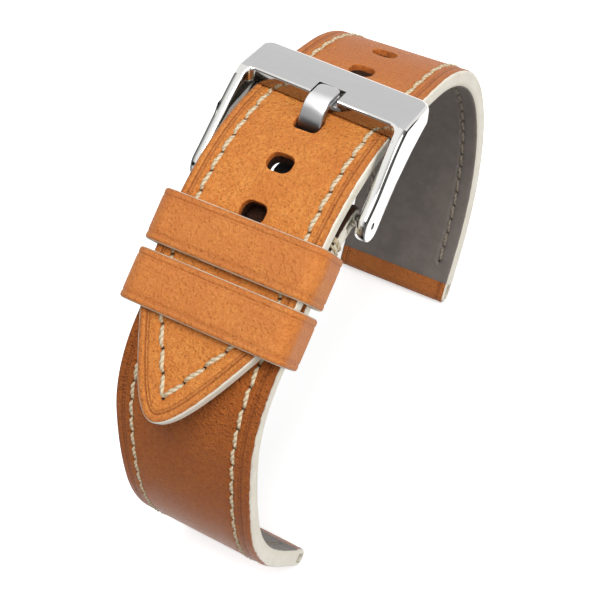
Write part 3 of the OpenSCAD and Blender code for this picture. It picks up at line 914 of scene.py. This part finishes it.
# painted shadow: the first part of the short piece, which the long one covers, is painted dark
coveredTo = 8.5
shortOuter = rolledSheet("shortOuterLeather", shadedShortLeather, *layerRings(
    shortStations, plainRib, sectionColumns(outerSection), shortTable, shortOuterPlace, coveredTo))

# the slot that lets the tongue swing
tongueSlot = {"width": 4.1, "length": 5.2, "depth": 6, "shift": 0.4, "corner": 0.5}
slotTool = boxTool((tongueSlot["width"], tongueSlot["length"], tongueSlot["depth"]))
startEdit(slotTool)
roundCorners(slotTool, 2, tongueSlot["corner"], 4)
endEdit()
coat(slotTool, rawLeather)
place(slotTool, poseMatrix((hinge[0], hinge[1], hingePose[2]), 0, tongueSlot["shift"], 0))
carve(shortOuter, slotTool, material_mode="TRANSFER")
dropPiece(slotTool)
finishPiece(shortOuter, "strap", "short_outer_leather")

shortLiningRun = stationsFrom(heelFlap + sliver, strap["shortLength"] - shortBack - sliver, sewnGap)
shortLining = rolledSheet("shortLining", greyLining, *layerRings(
    shortLiningRun, plainRib, sectionColumns(liningSection), shortTable, liningPlace(shortPose, shortThick)))
finishPiece(shortLining, "strap", "short_lining")

fillerFrom = 2.2
shortFillerRun = stationsFrom(fillerFrom, strap["shortLength"] - shortRadius - sliver, fillerGap)
shortFiller = rolledSheet("shortFiller", creamPaint, *fillerRings(
    shortFillerRun, plainRib, shortPose, shortThick))
finishPiece(shortFiller, "strap", "short_filler")
dropPiece(holeTool)


# One stitch of twisted thread, copied along the rows

thread = {"radius": 0.34, "flat": 0.76, "sides": 6, "rings": 10, "turn": 50, "gap": 0.26, "dive": 0.3,
          "slant": 6, "hidden": 0.2, "taper": 0.42}


def makeStitch(material):
    clearSelection()
    bpy.ops.mesh.primitive_circle_add(vertices=thread["sides"], radius=thread["radius"] * mm,
                                      fill_type="NGON", rotation=(pi / 2, 0, 0))
    stitch = bpy.context.object
    settle()
    length = stitching["pitch"] - thread["gap"]
    step = length / (thread["rings"] - 1)
    startEdit(stitch)
    selectAll()
    bpy.ops.transform.translate(value=(0, -length / 2 * mm, 0))
    for ring in range(1, thread["rings"]):
        bpy.ops.mesh.extrude_region_move(TRANSFORM_OT_translate={"value": (0, step * mm, 0)})
    faceOutwards()
    endEdit()
    coat(stitch, material)
    clearMaps(stitch.data)
    layer = stitch.data.uv_layers.new(name="threadMap")
    for polygon in stitch.data.polygons:
        angles = []
        for index in polygon.vertices:
            spot = stitch.data.vertices[index].co
            angles.append(atan2(spot.z, spot.x) / (2 * pi))
        if max(angles) - min(angles) > 0.5:
            angles = [a + 1 if a < 0 else a for a in angles]
        for loopIndex, index, angle in zip(polygon.loop_indices, polygon.vertices, angles):
            layer.data[loopIndex].uv = (angle, stitch.data.vertices[index].co.y / mm / length + 0.5)
    # an oval thread that turns as it goes, thinner where it dives into the holes
    for vertex in stitch.data.vertices:
        part = vertex.co.y / mm / length * 2
        swell = 1 - thread["taper"] * abs(part) ** 5
        angle = atan2(vertex.co.z, vertex.co.x)
        turn = radians(thread["turn"]) * (vertex.co.y / mm / step)
        lobe = cos(angle - turn)
        radius = thread["radius"] * swell * (thread["flat"] + (1 - thread["flat"]) * lobe * lobe)
        vertex.co.x = radius * cos(angle) * mm
        vertex.co.z = (radius * sin(angle) - thread["dive"] * abs(part) ** 4) * mm
    return stitch


def stitchMatrix(pose, x, height, aim, underneath):
    turn = Matrix.Rotation(-aim, 4, "Z")
    if underneath:
        turn = Matrix.Rotation(pi, 4, "Y") @ Matrix.Rotation(aim, 4, "Z")
    return poseMatrix(pose, x, 0, height) @ turn


def sewRow(name, seams, path, thick, underneath, proud, node):
    pattern = makeStitch(liningSideThread if underneath else linenThread)
    copies = []
    for x0, s0, x1, s1 in seams:
        middle = (s0 + s1) / 2
        x = (x0 + x1) / 2
        aim = atan2(x1 - x0, s1 - s0) + radians(thread["slant"])
        drop = proud - thread["radius"]
        height = -thick(middle) - drop if underneath else drop
        way = -1 if path is shortPose else 1
        copy = pattern.copy()
        copy.data = pattern.data.copy()
        bpy.context.collection.objects.link(copy)
        reach = (hypot(x1 - x0, s1 - s0) - thread["hidden"]) / (stitching["pitch"] - thread["gap"])
        copy.data.transform(Matrix.Diagonal((1, reach, 1, 1)))
        copy.data.transform(stitchMatrix(path(middle), x, height, way * aim, underneath))
        copies.append(copy)
    dropPiece(pattern)
    finishPiece(joinPieces(copies, name), "strap", node, 60)


sewRow("longFaceThread", longSeams, longPose, longThick, False, 0.24, "long_face_thread")
sewRow("longLiningThread", longSeams, longPose, longThick, True, 0.13, "long_lining_thread")
sewRow("shortFaceThread", shortSeams, shortPose, shortThick, False, 0.15, "short_face_thread")
sewRow("shortLiningThread", shortSeams, shortPose, shortThick, True, 0.13, "short_lining_thread")


# Keepers: a loop of leather, creased beside both edges, with painted edges

keepers = {
    "width": 6.7,
    "thick": 1.3,
    "inner": 20.6,
    "shift": 0.2,
    "over": 0.3,
    "fold": 2.3,
    "crease": 0.95,
    "creaseDepth": 0.09,
    "creaseWidth": 0.13,
    "creaseCuts": (0.28, 0.12, 0.0, -0.12, -0.28),
    "flatCut": 1.1,
    "skin": 0.5,
    "edgeRound": 0.42,
    "painted": 0.3,
    "stack": 4.9,
}


def cutAcross(axis, places):
    # cuts all faces at these places along one axis, in edit mode
    way = [float(i == axis) for i in range(3)]
    for at in places:
        selectAll()
        bpy.ops.mesh.bisect(plane_co=[part * at * mm for part in way], plane_no=way)


def makeKeeper(name, s, under, body, node):
    half = keepers["width"] / 2
    high = keepers["over"] + keepers["thick"]
    low = -keepers["stack"] - under - keepers["thick"]
    wide = keepers["inner"] + 2 * keepers["thick"]
    loop = boxTool((wide, keepers["width"], high - low))
    loop.name = name
    startEdit(loop)
    roundCorners(loop, 1, keepers["fold"], 8)
    pick(loop, "FACE", lambda f: abs(f.normal.y) > 0.9)
    bpy.ops.mesh.delete(type="ONLY_FACE")
    cutAcross(0, range(-9, 10, 2))
    cutAcross(2, (-1.2, 0, 1.2))
    cuts = [half - keepers["crease"] + d for d in keepers["creaseCuts"]] + [keepers["flatCut"]]
    cutAcross(1, cuts + [-y for y in cuts] + [0.0])
    endEdit()
    applyModifier(loop, "SOLIDIFY", thickness=keepers["thick"] * mm, offset=-1, use_even_offset=True)
    startEdit(loop)
    faceOutwards()
    rimAt = (half - 0.001) * mm
    pick(loop, "EDGE", lambda e: all(abs(v.co.y) > rimAt for v in e.verts)
         and any(abs(f.normal.y) < 0.5 for f in e.link_faces))
    bpy.ops.mesh.bevel(offset=keepers["edgeRound"] * mm, segments=4, affect="EDGES", clamp_overlap=True)
    endEdit()
    # the pressed creases, on the outside only
    for vertex in loop.data.vertices:
        x, y, z = (value / mm for value in vertex.co)
        outX = abs(x) - (wide / 2 - keepers["fold"])
        outZ = abs(z) - ((high - low) / 2 - keepers["fold"])
        inFold = outX > 0 and outZ > 0
        level = hypot(outX, outZ) if inFold else max(outX, outZ)
        if level <= keepers["fold"] - keepers["skin"]:
            continue
        away = Vector((copysign(1, x), 0, 0)) if outX > outZ else Vector((0, 0, copysign(1, z)))
        if inFold:
            away = Vector((copysign(outX, x), 0, copysign(outZ, z))).normalized()
        press = -keepers["creaseDepth"] * bell(half - abs(y) - keepers["crease"], keepers["creaseWidth"])
        vertex.co += away * press * mm
    layer = loop.data.uv_layers.active or loop.data.uv_layers.new()
    layer.name = "edgeMap"
    shadeLayer = loop.data.uv_layers.new(name="wearMap")
    for item in loop.data.loops:
        spot = loop.data.vertices[item.vertex_index].co / mm
        inset = half - abs(spot.y)
        layer.data[item.index].uv = ((inset + keepers["painted"]) / 100, spot.x / 100)
        shadeLayer.data[item.index].uv = (0.0, 0.0)
    coat(loop, keeperLeather, keeperPaint)
    for polygon in loop.data.polygons:
        polygon.material_index = 1 if abs(polygon.normal.y) > 0.7 else 0
    place(loop, poseMatrix(longPose(s), -keepers["shift"], 0, (high + low) / 2))
    finishPiece(loop, body, node, 45)


makeKeeper("fixedKeeper", 23.2, 0.35, "strap", "fixed_keeper")
makeKeeper("floatingKeeper", 15.5, 0.3, "loose_keeper", "floating_keeper")


# Thread wound round each edge of the short piece above the fixed keeper

tacks = {"at": 5.45, "turns": 3, "pitch": 0.5, "radius": 0.21, "reach": 1.5, "proud": 0.14,
         "square": 0.45, "cross": 0.16, "shift": 0.1}


def makeTack(side, turn):
    s = tacks["at"] - turn * tacks["pitch"]
    thick = shortThick(s)
    clearSelection()
    bpy.ops.mesh.primitive_torus_add(major_segments=20, minor_segments=6, major_radius=1.0,
                                     minor_radius=0.1, rotation=(pi / 2, 0, 0), generate_uvs=True)
    coil = bpy.context.object
    settle()
    coil.data.uv_layers[0].name = "threadMap"
    for item in coil.data.uv_layers["threadMap"].data:
        item.uv = (item.uv.y, item.uv.x * 4)
    wide = tacks["reach"]
    tall = thick + tacks["proud"]
    finer = tacks["radius"] / 0.1
    for vertex in coil.data.vertices:
        ringAngle = atan2(vertex.co.z, vertex.co.x)
        away = hypot(vertex.co.x, vertex.co.z)
        sideways = vertex.co.y
        # a squared loop: flat over both faces, round over the edge
        c = cos(ringAngle)
        q = sin(ringAngle)
        boxX = copysign(abs(c) ** tacks["square"], c)
        boxZ = copysign(abs(q) ** tacks["square"], q)
        swell = (away - 1) * finer
        vertex.co.x = (boxX * wide / 2 + c * swell + tacks["shift"]) * mm
        vertex.co.z = (boxZ * tall / 2 + q * swell) * mm
        vertex.co.y = (sideways * finer + tacks["cross"] * boxX * (1 if turn % 2 else -1)) * mm
    coat(coil, linenThread)
    if side < 0:
        place(coil, Matrix.Rotation(pi, 4, "Z"))
    place(coil, poseMatrix(shortPose(s), side * (strap["half"] - wide / 2), 0, -thick / 2))
    return coil


tackPieces = [makeTack(side, turn) for side in (-1, 1) for turn in range(tacks["turns"])]
finishPiece(joinPieces(tackPieces, "keeperBarTacks"), "strap", "keeper_bar_tacks", 60)


# Buckle frame: one side drawn as a profile and extruded, cut by the window, then rounded

buckle = {
    "width": 25.0,
    "inner": 21.8,
    "barLength": 7.0,
    "barThick": 1.9,
    "barAt": 48.1,
    "barGap": 0.3,
    "endRadius": 2.1,
    "corner": 1.8,
    "windowCorner": 1.1,
    "sideRound": 0.5,
    "edgeRound": 0.55,
    "innerShare": 0.55,
    "skew": 5.0,
    "notchWidth": 3.96,
    "notchAt": 0.4,
    "notchLength": 2.5,
    "notchDepth": 0.94,
    "pinHole": 0.45,
    "topLean": 32,
    "lowLean": 38,
    "front": ((-1, -2.3), (0.7, -1.6), (0.8, 0)),
    "frontAim": 20,
    "lowPull": 5,
    "backEdge": 0.15,
    "backAim": 208,
    "topPull": 4.2,
    "room": (21, 20),
    "roomAt": 3.5,
    "slideOver": (-9, -0.5),
    "legsFrom": 4.3,
    "legsTo": 8.5,
    # how much of its width each rounded edge gets, and how near counts as beside a corner or hole
    "crisp": 0.065,
    "notchShare": 0.16,
    "holeShare": 0.11,
    "lowShare": 0.4,
    "lowTo": (-0.3, 0.5),
    "beside": 0.15,
    "besideHole": 0.7,
}
barPose = longPose(buckle["barAt"])
barTop = buckle["barGap"] + buckle["barThick"]
halfBar = buckle["barLength"] / 2


def barPoint(along, height):
    y, z = over(barPose, height)
    return Vector((y + along * cos(barPose[2]), z + along * sin(barPose[2])))


def aimed(angle):
    return Vector((cos(angle), sin(angle)))


def easyCurve(start, startAim, end, endAim, pull, count):
    first = start + pull * aimed(startAim)
    last = end - pull * aimed(endAim)
    points = []
    for i in range(count + 1):
        u = i / count
        points.append((1 - u) ** 3 * start + 3 * u * (1 - u) ** 2 * first
                      + 3 * u * u * (1 - u) * last + u ** 3 * end)
    return points


def frameProfile():
    topAim = barPose[2] + radians(buckle["topLean"])
    lowAim = barPose[2] + radians(buckle["lowLean"])
    centre = Vector(hinge)
    radius = buckle["endRadius"]
    low, ledge, front = [barPoint(halfBar + ahead, barTop + up) for ahead, up in buckle["front"]]
    points = []
    for i in range(21):
        angle = topAim + pi / 2 + (pi + lowAim - topAim) * i / 20
        points.append(centre + radius * aimed(angle))
    points += easyCurve(centre + radius * aimed(lowAim - pi / 2), lowAim, low,
                        barPose[2] + radians(buckle["frontAim"]), buckle["lowPull"], 14)[1:]
    points += [ledge, front]
    backAim = barPose[2] + radians(buckle["backAim"])
    points += easyCurve(barPoint(-halfBar - buckle["backEdge"], barTop), backAim,
                        centre + radius * aimed(topAim + pi / 2), topAim + pi, buckle["topPull"], 18)[:-1]
    return points


def extrudedProfile(name, points, low, high):
    clearSelection()
    bpy.ops.mesh.primitive_circle_add(vertices=len(points), radius=1, fill_type="NGON")
    piece = bpy.context.object
    piece.name = name
    for vertex, point in zip(piece.data.vertices, points):
        vertex.co = Vector((low, point[0], point[1])) * mm
    startEdit(piece)
    selectAll()
    bpy.ops.mesh.extrude_region_move(TRANSFORM_OT_translate={"value": ((high - low) * mm, 0, 0)})
    faceOutwards()
    endEdit()
    return piece


def planTool(width, corner):
    # a long block whose far edge has round corners
    block = boxTool((width, 40, 40), (0, -20, 0))
    startEdit(block)
    roundCorners(block, 2, corner, 8, -0.001)
    endEdit()
    return block


def carveFrame(tool, operation="DIFFERENCE"):
    carve(frameBody, tool, operation)
    dropPiece(tool)


def cleanFlats(piece):
    startEdit(piece)
    selectAll()
    bpy.ops.mesh.remove_doubles(threshold=0.000004)
    bpy.ops.mesh.dissolve_limited(angle_limit=radians(0.6))
    endEdit()


def alongBar(spot):
    # how far a point of the mesh lies from the middle of the bar, along the strap
    return (Vector((spot.y, spot.z)) / mm - barPoint(0, barTop)).dot(aimed(barPose[2]))


def roundEdges(piece, width, weightOf):
    # rounds the sharp edges, each by its weight
    mesh = bmesh.new()
    mesh.from_mesh(piece.data)
    weights = []
    for edge in mesh.edges:
        sharp = len(edge.link_faces) == 2 and edge.calc_face_angle(0) > radians(32)
        weights.append(weightOf(edge) if sharp else 0.0)
    mesh.free()
    layer = piece.data.attributes.get("bevel_weight_edge")
    if not layer:
        layer = piece.data.attributes.new("bevel_weight_edge", "FLOAT", "EDGE")
    for i, weight in enumerate(weights):
        layer.data[i].value = weight
    applyModifier(piece, "BEVEL", width=width * mm, segments=4, limit_method="WEIGHT",
                  use_clamp_overlap=False)


halfWidth = buckle["width"] / 2
halfInner = buckle["inner"] / 2
barUp = Vector((0, -sin(barPose[2]), cos(barPose[2])))
frameBody = extrudedProfile("buckleFrame", frameProfile(), -halfWidth, halfWidth)
plan = planTool(buckle["width"] + 0.2, buckle["corner"])
place(plan, poseMatrix(barPose, 0, halfBar, 0))
carveFrame(plan, "INTERSECT")
cleanFlats(frameBody)


def outsideWeight(edge):
    # the upper outline is rounded most
    flat = max(edge.link_faces, key=lambda f: abs(f.normal.dot(barUp)) - abs(f.normal.x))
    high = softStep(flat.normal.dot(barUp), *buckle["lowTo"])
    return buckle["lowShare"] + (1 - buckle["lowShare"]) * high


roundEdges(frameBody, buckle["sideRound"], outsideWeight)
window = planTool(buckle["inner"], buckle["windowCorner"])
place(window, poseMatrix(barPose, 0, -halfBar, 0))
carveFrame(window)
roomLength, roomDepth = buckle["room"]
room = boxTool((buckle["inner"], roomLength, roomDepth), (0, 0, -roomDepth / 2))
place(room, poseMatrix(barPose, 0, buckle["roomAt"], buckle["barGap"]))
carveFrame(room)
notch = boxTool((buckle["notchWidth"], buckle["notchLength"] + 1, buckle["notchDepth"] + 1),
                (0, (buckle["notchLength"] - 1) / 2, (1 - buckle["notchDepth"]) / 2))
place(notch, poseMatrix(barPose, buckle["notchAt"], -halfBar, barTop))
carveFrame(notch)
clearSelection()
bpy.ops.mesh.primitive_cylinder_add(vertices=24, radius=buckle["pinHole"] * mm, depth=30 * mm,
                                    rotation=(0, pi / 2, 0),
                                    location=Vector((0, hinge[0], hinge[1])) * mm)
drill = bpy.context.object
settle()
carveFrame(drill)
cleanFlats(frameBody)


def insideWeight(edge):
    # the notch stays crisp, and so does the small ledge under each inner corner
    middle = (edge.verts[0].co + edge.verts[1].co) / 2
    side = abs(middle.x) / mm
    if abs(middle.x / mm - buckle["notchAt"]) < buckle["notchWidth"] / 2 + buckle["beside"]:
        inside = -halfBar + 0.05 < alongBar(middle) < 0
        return buckle["crisp"] if inside else buckle["notchShare"]
    if hypot(middle.y / mm - hinge[0], middle.z / mm - hinge[1]) < buckle["besideHole"]:
        return buckle["holeShare"]
    low = (middle - Vector((0, barPose[0], barPose[1])) * mm).dot(barUp) / mm < barTop - 1
    reach = buckle["windowCorner"] + buckle["beside"]
    if low and abs(alongBar(middle) + halfBar) < reach and abs(side - halfInner) < reach:
        return 0.0
    # the legs are rounder than the bar
    leg = softStep(-alongBar(middle), buckle["legsFrom"], buckle["legsTo"])
    return buckle["innerShare"] + (1 - buckle["innerShare"]) * leg


roundEdges(frameBody, buckle["edgeRound"], insideWeight)
# the bar sits a little askew: its left end is farther along the strap
slide = Vector((0, cos(barPose[2]), sin(barPose[2]))) * tan(radians(buckle["skew"]))
for vertex in frameBody.data.vertices:
    share = softStep(alongBar(vertex.co) + halfBar, *buckle["slideOver"])
    vertex.co -= slide * vertex.co.x * share
# painted shade: the near wall of the bar and the inner sides of the legs get the darker steel copies
coat(frameBody, polishedSteel, brushedSteel, shadedWallSteel, shadedSteel, legSteel)
for polygon in frameBody.data.polygons:
    side = polygon.center.x / mm
    inwards = abs(side) < halfInner + 0.1 and -polygon.normal.x * copysign(1, side) > 0.8
    nearWall = alongBar(polygon.center) < -1 and polygon.normal.yz.dot(aimed(barPose[2])) < -0.8
    if polygon.normal.dot(barUp) > 0.999:
        polygon.material_index = 1
    elif nearWall and abs(side) < halfInner:
        polygon.material_index = 2
    elif inwards:
        polygon.material_index = 3
    elif alongBar(polygon.center) < -halfBar - 0.3:
        polygon.material_index = 4
finishPiece(frameBody, "frame", "buckle_frame", 40)


# Tongue: a strip rolled round the hinge bar, under the tail, up through its hole and over the bar

tongue = {"width": 3.2, "thick": 0.9, "lap": 2.4, "loopMid": 1.25, "tipRound": 0.6, "edge": 0.24,
          "shift": 0.1, "loopWidth": 3.9, "shoulder": 0.4, "curl": 318,
          # the end of the shank, and where the tongue enters and leaves the hole, with its headings
          "shankEnd": (-1.9, -1.75), "entry": (-0.2, 0.3), "exit": (0.1, -0.5),
          "shankAim": 4, "entryAim": 82, "exitAim": 74,
          # by the number of the ring, from the loop to the tip
          "slimOver": (24, 31), "shoulderFrom": (25.5, 27), "shoulderTo": (28, 31),
          "inHoleShade": 0.05, "rising": 0.27, "risingOver": (38, 44), "bendHighlight": 0.68,
          "bendHighlightOver": (48.5, 51.5), "shaded": 0.4, "shadedOver": (53.5, 57)}
holePose = longPose(tailHoles["at"])


def nearHole(along, height):
    y, z = over(holePose, height)
    return Vector((y + along * cos(holePose[2]), z + along * sin(holePose[2])))


def tonguePath():
    centre = Vector(hinge)
    shankEnd = nearHole(tongue["shankEnd"][0], -strap["tail"] + tongue["shankEnd"][1])
    entry = nearHole(tongue["entry"][0], tongue["entry"][1] - strap["tail"])
    barMiddle = barTop - tongue["thick"] / 2
    aim = atan2(shankEnd.y - centre.y, shankEnd.x - centre.x)
    points = []
    for i in range(25):
        angle = aim + pi / 2 + radians(tongue["curl"]) * (1 - i / 24)
        points.append(centre + tongue["loopMid"] * aimed(angle))
    start = points[-1]
    for i in range(1, 8):
        points.append(start + (shankEnd - start) * i / 8)
    points += easyCurve(shankEnd, holePose[2] + radians(tongue["shankAim"]),
                        entry, holePose[2] + radians(tongue["entryAim"]), 1.0, 10)
    points += easyCurve(nearHole(*tongue["exit"]), holePose[2] + radians(tongue["exitAim"]),
                        barPoint(-halfBar - 0.1, barMiddle), barPose[2], 1.1, 12)
    end = barPoint(-halfBar + tongue["lap"], barMiddle)
    start = points[-1]
    for i in range(1, 13):
        points.append(start + (end - start) * (1 - (1 - i / 12) ** 1.8))
    return points


def tongueRings():
    path = tonguePath()
    half = tongue["width"] / 2
    thick = tongue["thick"] / 2
    edge = tongue["edge"]
    total = len(path)
    rings = []
    for i, point in enumerate(path):
        ahead = path[min(i + 1, total - 1)] - path[max(i - 1, 0)]
        up = Vector((-ahead.y, ahead.x)).normalized()
        fromTip = (path[-1] - point).length
        wide = half + (tongue["loopWidth"] / 2 - half) * (1 - softStep(i, *tongue["slimOver"]))
        rise = softStep(i, *tongue["shoulderFrom"]) * (1 - softStep(i, *tongue["shoulderTo"]))
        wide += tongue["shoulder"] * rise
        if i > total - 14 and fromTip < tongue["tipRound"]:
            part = 1 - fromTip / tongue["tipRound"]
            wide = half - tongue["tipRound"] * (1 - sqrt(max(0.0, 1 - part * part)))
        ring = []
        for sideX, sideH, start in ((1, -1, -90), (1, 1, 0), (-1, 1, 90), (-1, -1, 180)):
            for j in range(4):
                angle = radians(start + 30 * j)
                x = sideX * (wide - edge) + edge * cos(angle)
                h = sideH * (thick - edge) + edge * sin(angle)
                spot = point + up * h
                ring.append((x + tongue["shift"], spot.x, spot.y))
        rings.append(ring)
    return rings


def paintedTongueShine(i):
    # painted light: painted shade in the hole, a painted highlight on the bend and painted shade beyond it
    shine = tongue["inHoleShade"] + tongue["rising"] * softStep(i, *tongue["risingOver"])
    shine += tongue["bendHighlight"] * softStep(i, *tongue["bendHighlightOver"])
    return shine - tongue["shaded"] * softStep(i, *tongue["shadedOver"])


rings = tongueRings()
paintedShines = [[(paintedTongueShine(i), 0.0)] * len(ring) for i, ring in enumerate(rings)]
tonguePiece = rolledSheet("buckleTongue", tongueSteel, rings, {"steelMap": paintedShines})
finishPiece(tonguePiece, "tongue", "buckle_tongue", 50)

# The spring bar keeps its CAD solids, in polished steel
for node in ("spring_bar_tube", "spring_bar_tip_left", "spring_bar_tip_right", "spring_bar_spring"):
    coat(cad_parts[node], polishedSteel)


# Stage, light and camera

stage = {
    "floorSize": 3.0,
    "floorColour": (238, 238, 238),
    "floorShade": (120, 116, 112),
    "keyPower": 2.5,
    "fillPower": 1.4,
    "worldStrength": 0.3,
    "floorGlow": 0.55,
    "mirroredGlow": 0.5,
    "aim": (0, 0, 0.03),
    "black": (0.02, 0.02, 0.02, 1),
}


def seenOrMirrored(n):
    # 1 for rays from the camera, from polished steel or through glass
    rays = n.add("LightPath").outputs
    first = n.math("MAXIMUM", rays["Is Camera Ray"], rays["Is Glossy Ray"])
    return n.math("MAXIMUM", first, rays["Is Transmission Ray"])


def addPlane(name, size, material, **settings):
    clearSelection()
    bpy.ops.mesh.primitive_plane_add(size=size, **settings)
    plane = bpy.context.object
    plane.name = name
    coat(plane, material)
    return plane


# the pale floor throws back less light than it shows, so the front of the strap keeps its shade
n = Nodes("paleFloor")
n.finish(n.blend(seenOrMirrored(n), stage["floorShade"], stage["floorColour"]), 0.9, specular=0.1)
mirrored = n.add("LightPath").outputs["Is Glossy Ray"]
nearGlow = n.between(mirrored, 0.0, 1.0, stage["mirroredGlow"], stage["floorGlow"], "LINEAR")
away = n.add("VectorMath", {0: n.spot}, operation="LENGTH").outputs["Value"]
gain = n.times(seenOrMirrored(n), n.between(away, 0.06, 0.5, 1.0, nearGlow))
glow = n.add("Emission", {"Strength": gain})
both = n.add("AddShader", {0: n.shader.outputs[0], 1: glow.outputs[0]})
n.put(n.tree.nodes["Material Output"].inputs["Surface"], both.outputs[0])
addPlane("floor", stage["floorSize"], n.owner)

n = Nodes("paleStudio", bpy.data.worlds)
bpy.context.scene.world = n.owner
strength = n.between(seenOrMirrored(n), 0.0, 1.0, 1.0, stage["worldStrength"], "LINEAR")
n.fill(n.tree.nodes["Background"], {"Color": (1, 1, 1, 1), "Strength": strength})


def aimAt(item, spot, axis):
    item.location = spot
    away = Vector(stage["aim"]) - Vector(spot)
    item.rotation_euler = away.to_track_quat(axis, "Y").to_euler()


def addLamp(name, spot, size, power):
    lamp = bpy.data.lights.new(name, "AREA")
    lamp.shape = "DISK"
    lamp.size = size
    lamp.energy = power
    holder = bpy.data.objects.new(name, lamp)
    bpy.context.collection.objects.link(holder)
    aimAt(holder, spot, "-Z")
    return holder


addLamp("keyLamp", (0.055, -0.06, 0.6), 0.34, stage["keyPower"])
fillLamp = addLamp("fillLamp", (0.5, -0.03, 0.22), 0.4, stage["fillPower"])
fillLamp.visible_glossy = False


def addDarkCard(name, spot, size):
    # a black card at the side, which only polished steel shows
    card = addPlane(name, 1, Nodes(name).finish(stage["black"], 0.9))
    card.scale = (size[0], size[1], 1)
    aimAt(card, spot, "Z")
    settle()
    card.visible_camera = False
    card.visible_diffuse = False
    card.visible_shadow = False


addDarkCard("darkCardRight", (0.5, 0.25, 0.22), (0.6, 0.34))
addDarkCard("darkCardFront", (-0.24, -0.66, 0.3), (0.8, 0.3))
addDarkCard("darkCardAbove", (0.21, -0.27, 0.56), (0.26, 0.26))

photo = {
    "lens": 65.54,
    "sensor": 36,
    "spot": (52.60727, -67.18598, 163.40610),
    "sideways": (0.86808201, 0.48255058, -0.11652711),
    "upright": (-0.36096368, 0.77471885, 0.51914923),
    "sight": (-0.34079151, 0.40860205, -0.84670273),
}
cameraData = bpy.data.cameras.new("photoCamera")
cameraData.lens = photo["lens"]
cameraData.sensor_width = photo["sensor"]
cameraData.clip_start = 0.005
photoCamera = bpy.data.objects.new("photoCamera", cameraData)
bpy.context.collection.objects.link(photoCamera)
pose = Matrix((photo["sideways"], photo["upright"], -Vector(photo["sight"]))).transposed().to_4x4()
pose.translation = Vector(photo["spot"]) * mm
photoCamera.matrix_world = pose
bpy.context.scene.camera = photoCamera
bpy.context.scene.view_settings.view_transform = "Standard"

print("scene done")
